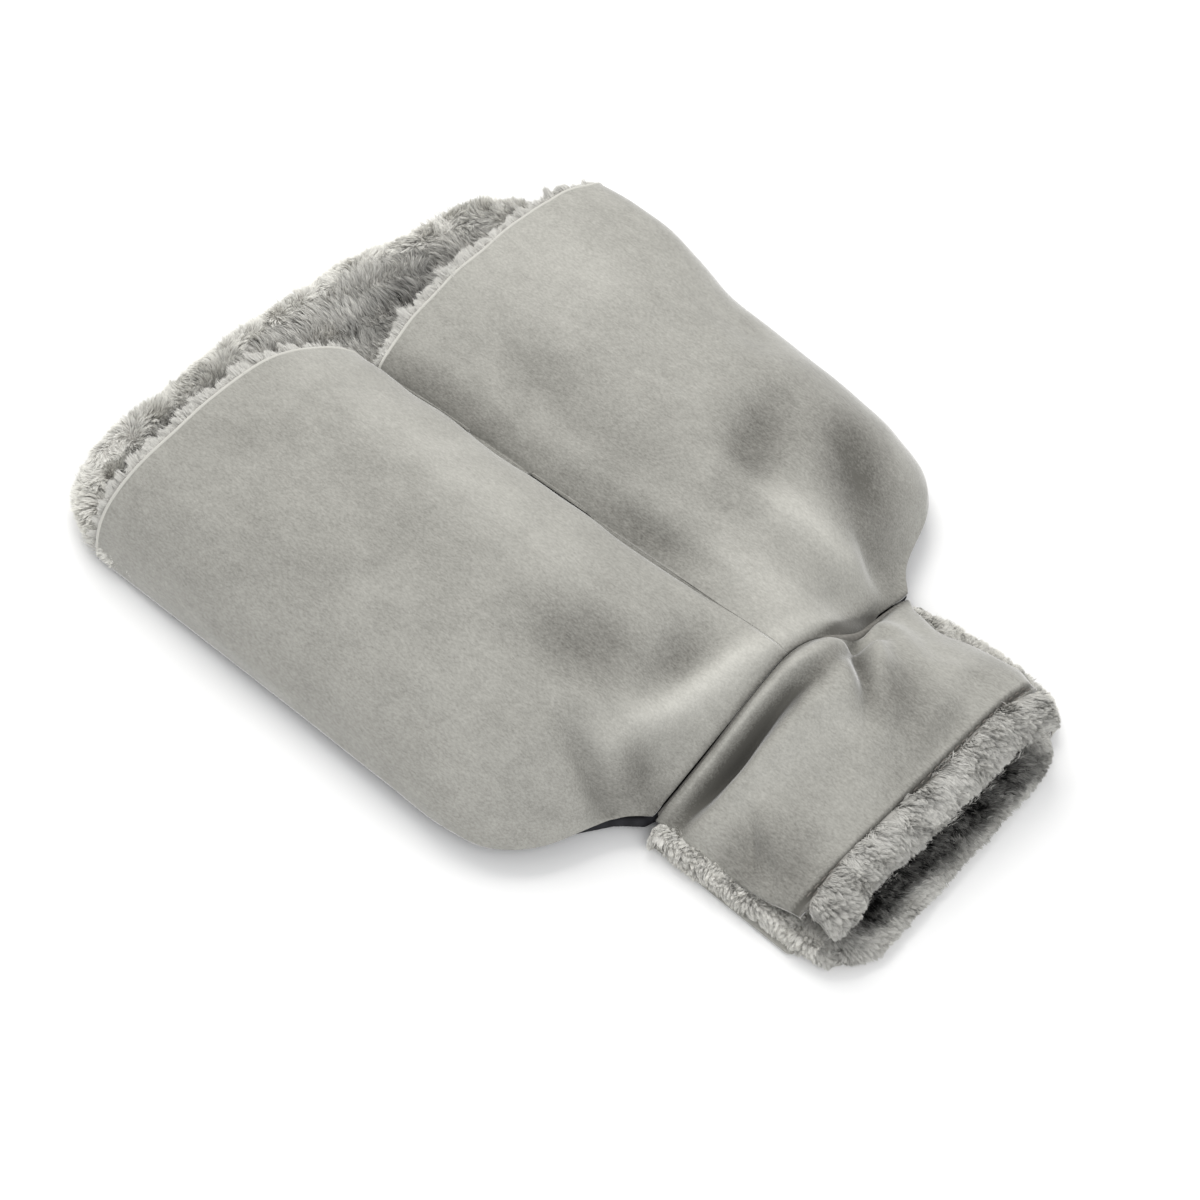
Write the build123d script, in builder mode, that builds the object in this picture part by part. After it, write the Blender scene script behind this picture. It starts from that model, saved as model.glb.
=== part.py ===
"""Hand warmer muff: a plush cover with two fur-lined hand pockets and a fur-lined neck, holding a hot-water bottle.

The muff lies flat on its back, +Z up. Y runs along it: the pocket mouths face +Y and the neck points to -Y.
X = 0 is the centre seam between the two pockets. The origin is under the middle of the muff, on the table.
"""
import os
from collections import namedtuple

from build123d import *

os.makedirs("parts", exist_ok=True)

# ---- Driving dimensions, in millimetres ----
BODY_HALF_WIDTH = 132.0  # centre seam to side seam
BACK_EDGE_Y = 197.0  # far edge of the back, past the pocket mouths
MOUTH_Y = 150.0  # mouth edge of the hand pockets
SHOULDER_Y = -45.0  # where the sides start to round in to the neck
SHOULDER_R = 32.0
SHOULDER_OUT_X = BODY_HALF_WIDTH - SHOULDER_R
SHOULDER_TURN = 57.0  # degrees the shoulder rounds through before it runs straight to the waist
FAR_CORNER_R = 34.0  # of the fur roll's middle, round the two far corners
ROLL_R = 7.0
ROLL_Y = BACK_EDGE_Y - ROLL_R
CORNER_X = BODY_HALF_WIDTH - ROLL_R - FAR_CORNER_R
CORNER_Y = ROLL_Y - FAR_CORNER_R
WAIST_Y = -97.0  # seam between body and neck
NECK_HALF_WIDTH = 72.0  # the front panel of the neck
CUFF_SEAM_Y = -172.0  # seam between the neck and its fur rim
CUFF_END_Y = -197.0

SIDE_SEAM_Z = 9.5  # height of the side seam above the table
CREST_Z = 56.0  # top of each pocket at its mouth
VALLEY_Z = 29.0  # centre seam at the mouth
WAIST_CREST_Z = 46.0  # top of the neck at the waist, over the bottle's neck
CUFF_CREST_Z = 28.0  # top of the neck at the cuff

PLUSH = 2.0  # short-pile outer fabric
FUR = 5.0  # long-pile lining
LAYER_GAP = 0.4  # air between layers that only touch at their seams
SEAM_HALF_GAP = 0.5  # each side of the centre seam

BAG_HALF_WIDTH = 97.0
BAG_WALL = 2.2
BOTTLE_NECK_Z = 18.5
BOTTLE_NECK_R = 11.0
BOTTLE_NECK_ROOT_Y = -70.0
BOTTLE_NECK_END_Y = -125.0
FUNNEL_HALF_WIDTH = 22.0  # the flared lip of the bottle's neck
FUNNEL_LENGTH = 4.0
INSERT_R = 8.6
INSERT_BORE_R = 7.2
INSERT_LENGTH = 24.0
FIT = 0.08  # running clearance of the stopper in the insert
WASHER_R = 8.5
WASHER_THICK = 1.4
SEAT_GAP = 0.05  # between the bottle, the washer and the stopper when closed
HEAD_R = 8.5
HEAD_LENGTH = 7.0
GRIP_HALF_WIDTH = 6.5
GRIP_LENGTH = 9.0

# ---- The pockets: one row for each station along Y, from the mouth to the waist ----
# side_x: side seam; crest_x, crest_z: the pocket's top; valley_z: centre seam; bell: 0 for a pillow, 1 for the neck's bell shape
Station = namedtuple("Station", "y side_x crest_x crest_z valley_z bell")
POCKET = [
    Station(MOUTH_Y, BODY_HALF_WIDTH, 68, CREST_Z, VALLEY_Z, 0),
    Station(100, BODY_HALF_WIDTH, 68, 55, 31, 0),
    Station(40, BODY_HALF_WIDTH, 67, 54, 34, 0),
    Station(-10, BODY_HALF_WIDTH, 66, 52.5, 38, 0.05),
    Station(SHOULDER_Y, BODY_HALF_WIDTH, 65, 50, 41, 0.15),
    Station(-65, 125, 60, 47, 43, 0.35),
    Station(-78, 100, 52, 43, 44.5, 0.6),
    Station(-87, 86, 44, 38, 45.5, 0.8),
    Station(WAIST_Y + 1, NECK_HALF_WIDTH + 1, 36, 31, WAIST_CREST_Z, 1),
]
# The fur panel under the hands: height of its top on the centre line and half-width, along Y
Floor = namedtuple("Floor", "y half_width top_z edge_z")
HAND_FLOOR = [
    Floor(BACK_EDGE_Y - 22, 100, 14, 9.6),
    Floor(163, 110.5, 15.5, 9.7),
    Floor(MOUTH_Y, 114, 17, 9.8),
    Floor(138, 123, 18, 9.8),
    Floor(80, 124, 22.5, 9.8),
    Floor(0, 124, 27.5, 9.8),
    Floor(SHOULDER_Y, 122, 30, 9.8),
    Floor(-66, 108, 33.5, 11),
    Floor(-80, 78, 34.5, 14),
]
# The neck's front panel: height on the centre line, half-way out and at its edge, along Y
NeckRow = namedtuple("NeckRow", "y half_width crest_z mid_z edge_z")
NECK = [
    NeckRow(WAIST_Y, NECK_HALF_WIDTH, WAIST_CREST_Z, 31, 14),
    NeckRow(-120, NECK_HALF_WIDTH, 43, 31, 14),
    NeckRow(-146, NECK_HALF_WIDTH, 36, 29, 15),
    NeckRow(CUFF_SEAM_Y, NECK_HALF_WIDTH, CUFF_CREST_Z, 25, 16),
]
# The bottle's bag: half-width, bottom and top, along Y. It lies nearly empty, thickest at its neck
BagRow = namedtuple("BagRow", "y half_width low_z high_z")
BAG = [
    BagRow(160, 88, 4.5, 9.5),
    BagRow(130, BAG_HALF_WIDTH, 2.6, 12.5),
    BagRow(70, BAG_HALF_WIDTH, 2.6, 17),
    BagRow(0, BAG_HALF_WIDTH, 2.6, 21.5),
    BagRow(-40, 90, 2.6, 24.5),
    BagRow(-58, 45, 4.5, 28),
    BagRow(-70, BOTTLE_NECK_R, BOTTLE_NECK_Z - BOTTLE_NECK_R, BOTTLE_NECK_Z + BOTTLE_NECK_R),
]


def cross_plane(y):
    """The upright plane across the muff at y: its x is X and its y is Z."""
    return Plane.XZ.offset(-y)


def arch_feet(station, depth):
    """Outer foot, crest and inner foot of a pocket's arch, depth inside the plush surface."""
    foot = (station.side_x - depth, SIDE_SEAM_Z)
    crest = (station.crest_x, station.crest_z - depth)
    seam = (SEAM_HALF_GAP + depth * (1 - station.bell), station.valley_z - depth * station.bell)
    return foot, crest, seam


def pocket_section(station, depth, thickness, seam_drop=0.0):
    """A band of the given thickness that follows the pocket's arch at one station."""
    bell = station.bell
    foot_way = (-0.3 - 0.35 * bell, 1.0 - 0.4 * bell)
    seam_way = (-0.45 - 0.55 * bell, -1.0 + 0.95 * bell)
    outer = arch_feet(station, depth)
    inner = arch_feet(station, depth + thickness)
    outer_end = (outer[2][0], outer[2][1] - seam_drop)
    inner_end = (inner[2][0], inner[2][1] - seam_drop)
    with BuildSketch(cross_plane(station.y)) as section:
        with BuildLine():
            Spline(outer[0], outer[1], outer_end, tangents=[foot_way, seam_way])
            Line(outer_end, inner_end)
            Spline(inner[0], inner[1], inner_end, tangents=[foot_way, seam_way])
            Line(inner[0], outer[0])
        make_face()
    return section.sketch


def floor_points(row, drop):
    """Five points across the fur panel under the hands, drop below its top."""
    shoulder = row.edge_z + 0.8 * (row.top_z - row.edge_z)
    heights = [row.edge_z, shoulder, row.top_z, shoulder, row.edge_z]
    return [(row.half_width * share, z - drop) for share, z in zip((-1, -0.62, 0, 0.62, 1), heights)]


def floor_section(row, thickness):
    """The fur panel under the hands, draped over the bottle: an arched band."""
    top = floor_points(row, 0)
    under = floor_points(row, thickness)
    with BuildSketch(cross_plane(row.y)) as section:
        with BuildLine():
            Spline(*top)
            Line(top[-1], under[-1])
            Spline(*under)
            Line(under[0], top[0])
        make_face()
    return section.sketch


def neck_points(row, depth):
    """Five points of the neck's arch, depth inside its plush surface."""
    edge = row.half_width - depth
    half = row.half_width * 0.52
    return [
        (-edge, row.edge_z),
        (-half, row.mid_z - depth),
        (0, row.crest_z - depth),
        (half, row.mid_z - depth),
        (edge, row.edge_z),
    ]


def neck_section(row, depth, thickness):
    """A band of the given thickness that follows the neck's arch at one station."""
    outer = neck_points(row, depth)
    inner = neck_points(row, depth + thickness)
    ways = [(0.9, 0.5), (0.9, -0.5)]
    with BuildSketch(cross_plane(row.y)) as section:
        with BuildLine():
            Spline(*outer, tangents=ways)
            Line(outer[-1], inner[-1])
            Spline(*inner, tangents=ways)
            Line(inner[0], outer[0])
        make_face()
    return section.sketch


def bag_section(row, wall):
    """An oval slice of the bottle's bag, wall inside its outer surface."""
    half_width = row.half_width - wall
    half_height = (row.high_z - row.low_z) / 2 - wall
    centre_z = (row.high_z + row.low_z) / 2
    with BuildSketch(cross_plane(row.y)) as section:
        with Locations((0, centre_z)):
            Ellipse(half_width, half_height)
    return section.sketch


def body_outline(grow):
    """Closed outline of the body seen from above, grown sideways, ending just inside the far edge's fur roll."""
    side = BODY_HALF_WIDTH + grow
    waist = (NECK_HALF_WIDTH + 4 + grow, WAIST_Y + 3)
    step_y = CORNER_Y - LAYER_GAP
    far_r = FAR_CORNER_R - ROLL_R - LAYER_GAP + grow
    with BuildLine() as outline:
        Line((0, step_y + far_r), (CORNER_X, step_y + far_r))
        CenterArc((CORNER_X, step_y), far_r, 0, 90)
        Line((CORNER_X + far_r, step_y), (side, step_y))
        Line((side, step_y), (side, SHOULDER_Y))
        shoulder = CenterArc((SHOULDER_OUT_X, SHOULDER_Y), SHOULDER_R + grow, 0, -SHOULDER_TURN)
        Line(shoulder @ 1, waist)
        Line(waist, (0, WAIST_Y + 3))
        mirror(about=Plane.YZ)
    return outline.line


def save(shape, name):
    """Labels a finished piece and writes its file."""
    shape.label = name
    export_step(shape, f"parts/{name}.step")


# ---- Back: the dark backing, the fur under the hands, and the fur roll round the far edge ----
COVER_WALL = 1.8
COVER_HEIGHT = 8.0

with BuildPart() as back_cover:
    for mode, inset, low_z in ((Mode.ADD, 0, 0), (Mode.SUBTRACT, 3, COVER_WALL)):
        with BuildSketch(Plane.XY.offset(low_z)) as cover_floor:
            make_face(body_outline(-7 - inset / 3))
        with BuildSketch(Plane.XY.offset(COVER_HEIGHT)) as cover_brim:
            make_face(body_outline(-inset))
        loft(sections=[cover_floor.sketch, cover_brim.sketch], ruled=True, mode=mode)
save(back_cover.part, "back_cover")

with BuildPart() as hand_floor_fur:
    loft(sections=[floor_section(row, FUR - 1) for row in HAND_FLOOR], ruled=True)
save(hand_floor_fur.part, "hand_floor_fur")

with BuildPart() as back_edge_roll:
    roll_z = ROLL_R + 1
    with BuildLine(Plane.XY.offset(roll_z)) as roll_path:
        CenterArc((CORNER_X, CORNER_Y), FAR_CORNER_R, 0, 90)
        Line((CORNER_X, ROLL_Y), (-CORNER_X, ROLL_Y))
        CenterArc((-CORNER_X, CORNER_Y), FAR_CORNER_R, 90, 90)
    with BuildSketch(Plane(origin=(CORNER_X + FAR_CORNER_R, CORNER_Y, roll_z), z_dir=(0, 1, 0))) as roll_round:
        Circle(ROLL_R)
    sweep(sections=roll_round.sketch, path=roll_path.line)
save(back_edge_roll.part, "back_edge_roll")

with BuildPart() as perimeter_seam:
    with BuildSketch(Plane.XY.offset(COVER_HEIGHT + 0.2)):
        make_face(body_outline(-0.4))
        make_face(body_outline(-5), mode=Mode.SUBTRACT)
        with Locations((0, MOUTH_Y)):
            Rectangle(2 * BODY_HALF_WIDTH, 100, align=(Align.CENTER, Align.MIN), mode=Mode.SUBTRACT)
    extrude(amount=SIDE_SEAM_Z - COVER_HEIGHT - 0.4)
    split(bisect_by=Plane.XZ.offset(-WAIST_Y - 8), keep=Keep.BOTTOM)
save(perimeter_seam.part, "perimeter_seam")

# ---- Front: two pocket panels, their fur linings, the edging of their mouths, and the seam between them ----
EDGING_LENGTH = 3.0
EDGING_PROUD = 0.4
for side, flip in (("right", False), ("left", True)):
    with BuildPart() as pocket_panel:
        loft(sections=[pocket_section(s, 0, PLUSH) for s in POCKET], ruled=True)
        if flip:
            mirror(about=Plane.YZ, mode=Mode.REPLACE)
    save(pocket_panel.part, f"{side}_pocket_panel")

    with BuildPart() as pocket_lining:
        loft(sections=[pocket_section(s, PLUSH + 2 * LAYER_GAP, FUR, 4) for s in POCKET[:-3]], ruled=True)
        if flip:
            mirror(about=Plane.YZ, mode=Mode.REPLACE)
    save(pocket_lining.part, f"{side}_pocket_lining")

    with BuildPart() as mouth_edging:
        extrude(pocket_section(POCKET[0], -EDGING_PROUD, PLUSH + 2 * EDGING_PROUD), amount=-EDGING_LENGTH)
        if flip:
            mirror(about=Plane.YZ, mode=Mode.REPLACE)
    save(mouth_edging.part, f"{side}_mouth_edging")


def seam_strip(y, half_width, low_z, high_z):
    """An upright rectangle on the centre line, for strips that run along Y."""
    with BuildSketch(cross_plane(y)) as section:
        with Locations((0, (low_z + high_z) / 2)):
            Rectangle(2 * half_width, high_z - low_z)
    return section.sketch


def floor_top(y):
    """Height of the fur panel's top on the centre line, straight between its rows."""
    for near, far in zip(HAND_FLOOR[1:], HAND_FLOOR):
        if near.y <= y <= far.y:
            return near.top_z + (far.top_z - near.top_z) * (y - near.y) / (far.y - near.y)
    return HAND_FLOOR[-1].top_z


SEAM_ALLOWANCE = 4.0
with BuildPart() as centre_seam:
    strips = []
    for s in POCKET[:-1]:
        top = s.valley_z - PLUSH * s.bell - LAYER_GAP
        strips.append(seam_strip(s.y, 1.6, top - SEAM_ALLOWANCE, top))
    loft(sections=strips, ruled=True)
save(centre_seam.part, "centre_seam")

with BuildPart() as pocket_divider:
    walls = []
    for s in POCKET[:5]:
        top = s.valley_z - PLUSH * s.bell - 2 * LAYER_GAP - SEAM_ALLOWANCE
        walls.append(seam_strip(s.y, 2.4, floor_top(s.y) + LAYER_GAP, top))
    loft(sections=walls, ruled=True)
save(pocket_divider.part, "pocket_divider")

# ---- Neck: plush front and back, the fur inside both, and the fur cuff ----
NECK_FLOOR_Z = 7.0
NECK_EDGE_OUT = 8.0  # the back's fur shows this far past the front panel
with BuildPart() as neck_front_panel:
    loft(sections=[neck_section(row, 0, PLUSH) for row in NECK], ruled=True)
save(neck_front_panel.part, "neck_front_panel")

with BuildPart() as neck_front_lining:
    loft(sections=[neck_section(row, PLUSH + LAYER_GAP, FUR - 1) for row in NECK], ruled=True)
save(neck_front_lining.part, "neck_front_lining")

neck_length = WAIST_Y - CUFF_SEAM_Y
neck_mid_y = (WAIST_Y + CUFF_SEAM_Y) / 2
with BuildPart() as neck_back_panel:
    with BuildSketch():
        with Locations((0, neck_mid_y)):
            Rectangle(2 * (NECK_HALF_WIDTH + NECK_EDGE_OUT - 1), neck_length)
    extrude(amount=PLUSH)
save(neck_back_panel.part, "neck_back_panel")

with BuildPart() as neck_back_lining:
    out_x = NECK_HALF_WIDTH + NECK_EDGE_OUT
    low_z = PLUSH + LAYER_GAP
    high_z = NECK[0].edge_z - 1
    with BuildSketch(cross_plane(WAIST_Y)) as trough:
        with BuildLine():
            Polyline((0, low_z), (out_x, low_z), (out_x, high_z), (out_x - 6, high_z))
            Line((out_x - 6, high_z), (out_x - 12, NECK_FLOOR_Z))
            Line((out_x - 12, NECK_FLOOR_Z), (0, NECK_FLOOR_Z))
            mirror(about=Plane.YZ)
        make_face()
    extrude(amount=neck_length)
    fillet(neck_back_lining.edges().filter_by(Axis.Y).group_by(Axis.Z)[-1], 2.0)
save(neck_back_lining.part, "neck_back_lining")

with BuildPart() as waist_seam_tape:
    tape_row = NECK[0]._replace(y=WAIST_Y + 2)
    extrude(neck_section(tape_row, PLUSH + 2.8, 1.6), amount=-4)
save(waist_seam_tape.part, "waist_seam_tape")

RIM_THICK = 9.0
with BuildPart() as cuff_rim_front:
    rim_rows = [
        NeckRow(CUFF_SEAM_Y - 0.5, NECK_HALF_WIDTH, 29, 26, 16),
        NeckRow(CUFF_SEAM_Y - 6, NECK_HALF_WIDTH + 4, 33, 30, 16),
        NeckRow(CUFF_SEAM_Y - 13, NECK_HALF_WIDTH + 4, 34, 31, 16),
        NeckRow(CUFF_SEAM_Y - 18, NECK_HALF_WIDTH, 32, 29, 16),
    ]
    thick = [6.4, RIM_THICK, RIM_THICK, 6.4]
    loft(sections=[neck_section(row, 0, t) for row, t in zip(rim_rows, thick)], ruled=True)
save(cuff_rim_front.part, "cuff_rim_front")

LIP_HEIGHT = 13.0
with BuildPart() as cuff_lip_back:
    lip_length = CUFF_SEAM_Y - 0.5 - CUFF_END_Y
    with BuildSketch(Plane.YZ):
        with Locations((CUFF_END_Y + lip_length / 2, LIP_HEIGHT / 2)):
            RectangleRounded(lip_length, LIP_HEIGHT, 5.5)
    extrude(amount=NECK_HALF_WIDTH + NECK_EDGE_OUT, both=True)
save(cuff_lip_back.part, "cuff_lip_back")

# ---- Bottle: rubber bag with its neck and funnel, the insert, the stopper and its washer ----
with BuildPart() as bottle_bag:
    loft(sections=[bag_section(row, 0) for row in BAG], ruled=True)
    with BuildSketch(cross_plane(BOTTLE_NECK_ROOT_Y)):
        with Locations((0, BOTTLE_NECK_Z)):
            Circle(BOTTLE_NECK_R)
    extrude(amount=BOTTLE_NECK_ROOT_Y - BOTTLE_NECK_END_Y)
    with BuildSketch(cross_plane(BOTTLE_NECK_END_Y + FUNNEL_LENGTH)):
        with Locations((0, BOTTLE_NECK_Z)):
            Ellipse(FUNNEL_HALF_WIDTH, BOTTLE_NECK_R - 0.1)
    extrude(amount=FUNNEL_LENGTH)
    inner_rows = [BAG[0]._replace(y=BAG[0].y - BAG_WALL), *BAG[1:]]
    loft(sections=[bag_section(row, BAG_WALL) for row in inner_rows], ruled=True, mode=Mode.SUBTRACT)
    with BuildSketch(cross_plane(BOTTLE_NECK_ROOT_Y + 1)):
        with Locations((0, BOTTLE_NECK_Z)):
            Circle(INSERT_R)
    extrude(amount=BOTTLE_NECK_ROOT_Y + 1 - BOTTLE_NECK_END_Y, mode=Mode.SUBTRACT)
save(bottle_bag.part, "bottle_bag")

with BuildPart() as bottle_insert:
    with BuildSketch(cross_plane(BOTTLE_NECK_END_Y)):
        with Locations((0, BOTTLE_NECK_Z)):
            Circle(INSERT_R)
            Circle(INSERT_BORE_R, mode=Mode.SUBTRACT)
    extrude(amount=-INSERT_LENGTH)
save(bottle_insert.part, "bottle_insert")

with BuildPart() as stopper_washer:
    with BuildSketch(cross_plane(BOTTLE_NECK_END_Y - SEAT_GAP)):
        with Locations((0, BOTTLE_NECK_Z)):
            Circle(WASHER_R)
            Circle(INSERT_BORE_R, mode=Mode.SUBTRACT)
    extrude(amount=WASHER_THICK)
save(stopper_washer.part, "stopper_washer")

head_y = BOTTLE_NECK_END_Y - WASHER_THICK - 2 * SEAT_GAP
with BuildPart() as stopper:
    with BuildSketch(cross_plane(head_y)):
        with Locations((0, BOTTLE_NECK_Z)):
            Circle(HEAD_R)
    extrude(amount=HEAD_LENGTH)
    with BuildSketch(cross_plane(head_y)):
        with Locations((0, BOTTLE_NECK_Z)):
            Circle(INSERT_BORE_R - FIT)
    extrude(amount=-(INSERT_LENGTH - 3))
    with BuildSketch(cross_plane(head_y - HEAD_LENGTH)):
        with Locations((0, BOTTLE_NECK_Z)):
            RectangleRounded(2 * GRIP_HALF_WIDTH, 5, 2)
    extrude(amount=GRIP_LENGTH)
    fillet(stopper.edges().filter_by(GeomType.CIRCLE).group_by(Axis.Y)[-1], 1.2)
save(stopper.part, "stopper")
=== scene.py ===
"""A plush hand warmer muff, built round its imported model: velour pockets and neck, fur linings, fur cuff and back.

Lengths in the shape code are millimetres in the model's frame: +Z up, Y along the muff with the pocket mouths at +Y
and the neck at -Y, X = 0 at the centre seam. A finished mesh is in metres.
"""
import math

import bpy
import numpy as np
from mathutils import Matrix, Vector


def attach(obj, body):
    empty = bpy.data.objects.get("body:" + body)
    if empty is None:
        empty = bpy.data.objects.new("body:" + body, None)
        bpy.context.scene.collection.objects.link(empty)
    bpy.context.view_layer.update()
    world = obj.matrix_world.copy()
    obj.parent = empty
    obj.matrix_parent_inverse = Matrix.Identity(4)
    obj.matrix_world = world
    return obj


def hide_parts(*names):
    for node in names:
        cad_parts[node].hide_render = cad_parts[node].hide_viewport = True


bl_info = {
    "name": "Hand warmer muff",
    "version": (1, 0, 0),
    "blender": (4, 5, 0),
    "location": "3D Viewport > Sidebar > Muff",
    "description": "Builds a plush hand warmer muff with fur-lined pockets round its packed model",
    "category": "Object",
}

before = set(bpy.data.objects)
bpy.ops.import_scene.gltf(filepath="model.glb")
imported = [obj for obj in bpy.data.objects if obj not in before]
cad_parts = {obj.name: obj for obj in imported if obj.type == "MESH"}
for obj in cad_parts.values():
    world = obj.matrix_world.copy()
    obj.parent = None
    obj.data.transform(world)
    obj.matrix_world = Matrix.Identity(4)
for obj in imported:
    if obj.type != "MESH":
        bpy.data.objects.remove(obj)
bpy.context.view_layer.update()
MM = 0.001
LEFT, RIGHT = -1, 1

WAIST_Y = -97.5
# The waist seam bows towards the neck on its right half: how far, round which x, and how broadly
WAIST_BOW, BOW_X, BOW_WIDTH = 5.0, 36, 15
CUFF_SEAM_Y = -168.5
NECK_HALF_WIDTH = 74.0
# How far the fur linings' base lies under the velour
POCKET_LINING_GAP, NECK_LINING_GAP = 2.6, 3.0
# Black is the fur's darkest tone, which the painted shadows on the hand floor and the lip run down to.
BLACK = (0, 0, 0, 1)


# ---- Numbers over arrays ----
def unit(v):
    """Vectors scaled to length 1."""
    return v / np.maximum(np.linalg.norm(v, axis=-1, keepdims=True), 1e-9)


def curve_through(keys, values, at):
    """A smooth curve through the values at rising keys: a cubic between each two, whose slope at a key is the mean of
    the runs on its two sides. Values may have more columns, and each is its own curve."""
    keys = np.asarray(keys, float)
    values = np.asarray(values, float)
    at = np.clip(at, keys[0], keys[-1])
    gaps = np.diff(keys)
    column = (slice(None),) + (None,) * (values.ndim - 1)
    runs = np.diff(values, axis=0) / gaps[column]
    slopes = np.concatenate([runs[:1], (runs[1:] + runs[:-1]) / 2, runs[-1:]])
    k = np.clip(np.searchsorted(keys, at, side="right") - 1, 0, len(gaps) - 1)
    s = ((at - keys[k]) / gaps[k])[(...,) + (None,) * (values.ndim - 1)]
    h = gaps[k][(...,) + (None,) * (values.ndim - 1)]
    a, b, c, d = values[k], values[k + 1], slopes[k] * h, slopes[k + 1] * h
    return a + s * c + s * s * (3 * (b - a) - 2 * c - d) + s ** 3 * (2 * (a - b) + c + d)


def ease(low, high, x):
    """0 below low, 1 above high, and an S-curve between."""
    t = np.clip((x - low) / (high - low), 0, 1)
    return t * t * (3 - 2 * t)


def bell(x, y, cx, cy, turn, long, wide):
    """A bell-shaped bump round (cx, cy), stretched along a line turned by degrees from +X."""
    c, s = math.cos(math.radians(turn)), math.sin(math.radians(turn))
    along = (x - cx) * c + (y - cy) * s
    across = (y - cy) * c - (x - cx) * s
    return np.exp(-((along / long) ** 2 + (across / wide) ** 2) / 2)


def folds_at(folds, x, y):
    """The sum of bells (cx, cy, turn, long, wide, height)."""
    total = np.zeros_like(x)
    for cx, cy, turn, long, wide, height in folds:
        total += height * bell(x, y, cx, cy, turn, long, wide)
    return total


def ripple(points, size, seed, waves=9):
    """Smooth noise from about -1 to 1: a sum of waves of one size in scattered directions."""
    rng = np.random.default_rng(seed)
    ways = unit(rng.normal(size=(waves, 3))) * 2 * math.pi / size * rng.uniform(0.6, 1.5, (waves, 1))
    phases = rng.uniform(0, 2 * math.pi, waves)
    return np.sin(points @ ways.T + phases).sum(-1) / math.sqrt(waves)


def surface(x, y, z):
    """Points from three coordinates, each of which may run over rows, over columns, over both or over neither."""
    return np.stack(np.broadcast_arrays(x, y, z), axis=-1)


def swirl(points, size, seed, level=False):
    """A direction that wanders: smooth noise of its own in X, in Y and, unless it stays level, in Z."""
    ways = [ripple(points, size, seed + k) for k in range(2 if level else 3)]
    return surface(*ways, 0.0) if level else surface(*ways)


def normals_of(grid):
    """The unit normal at each point of a grid surface: along-rows crossed with along-columns."""
    return unit(np.cross(np.gradient(grid, axis=1), np.gradient(grid, axis=0)))


def even_steps(count, crowd_start=0.0, crowd_end=0.0):
    """Steps from 0 to 1, closer together at the ends that are crowded."""
    t = np.linspace(0, 1, count)
    weight = 1 - crowd_start * np.exp(-t * 12) - crowd_end * np.exp((t - 1) * 12)
    total = np.concatenate([[0], np.cumsum((weight[1:] + weight[:-1]) / 2)])
    return total / total[-1]


# ---- Patches: the parts a mesh is put together from ----
class Patch:
    """Vertices in millimetres, faces as one array for each number of corners, and numbers per vertex for the
    material."""

    def __init__(self, points, faces, **numbers):
        self.points = points
        self.faces = faces
        self.numbers = numbers


def grid_patch(grid, wrap=False, flip=False, poles=(), **numbers):
    """Quads over a grid of points. Wrap joins the last column to the first. A pole, at row 0 or -1, draws its row to
    the row's middle: one vertex with triangles round it."""
    rows, columns = grid.shape[:2]
    grid = np.array(grid, float)
    index = np.arange(rows * columns).reshape(rows, columns)
    for row in poles:
        grid[row] = grid[row].mean(0)
        index[row] = index[row, 0]
    if wrap:
        index = np.concatenate([index, index[:, :1]], axis=1)
    quads = np.stack([index[:-1, :-1], index[:-1, 1:], index[1:, 1:], index[1:, :-1]], axis=-1)
    faces = [quads[1 if 0 in poles else 0:rows - 2 if -1 in poles else rows - 1].reshape(-1, 4)]
    if 0 in poles:
        faces.append(quads[0][:, [0, 2, 3]])
    if -1 in poles:
        faces.append(quads[-1][:, [0, 1, 2]])
    if flip:
        faces = [f[:, ::-1] for f in faces]
    used = np.unique(np.concatenate([f.ravel() for f in faces]))
    faces = [np.searchsorted(used, f) for f in faces]
    flat = {key: np.broadcast_to(value, (rows, columns)).ravel()[used] for key, value in numbers.items()}
    return Patch(grid.reshape(-1, 3)[used], faces, **flat)


def closed_patch(roll, flip=False, **numbers):
    """A roll whose last column repeats its first, closed round and at both ends."""
    return grid_patch(roll[:, :-1], wrap=True, flip=flip, poles=(0, -1), **numbers)


def scatter(grid, count, seed, weight, normals):
    """Roots spread over a grid surface by area times weight: their places and normals."""
    rng = np.random.default_rng(seed)
    area = np.linalg.norm(np.cross(np.diff(grid, axis=0)[:, :-1], np.diff(grid, axis=1)[:-1]), axis=-1)
    area = area * weight[:-1, :-1]
    pick = rng.choice(area.size, count, p=area.ravel() / area.sum())
    row, column = np.unravel_index(pick, area.shape)
    a, b = rng.random((2, count, 1))

    def between(values):
        near = values[row, column] * (1 - b) + values[row, column + 1] * b
        far = values[row + 1, column] * (1 - b) + values[row + 1, column + 1] * b
        return near * (1 - a) + far * a

    return between(grid), unit(between(normals))


# A hair's middle along its length, its width there as a share of the root's, and the lowest height it may reach
HAIR_MIDDLE = 0.55
HAIR_TAPER = 0.75
LOWEST_HAIR = 0.6
# How far hairs lean to the middle of their lock at the tip, and how sharply that grows from the root
LOCK_PULL, LOCK_CURVE = 0.75, 1.5
# Turns the cubes that hairs are gathered by, so that they line up with no surface
LOCK_TURN = np.array(((0.8, 0.6, 0.0), (-0.48, 0.64, 0.6), (0.36, -0.48, 0.8)))


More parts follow.
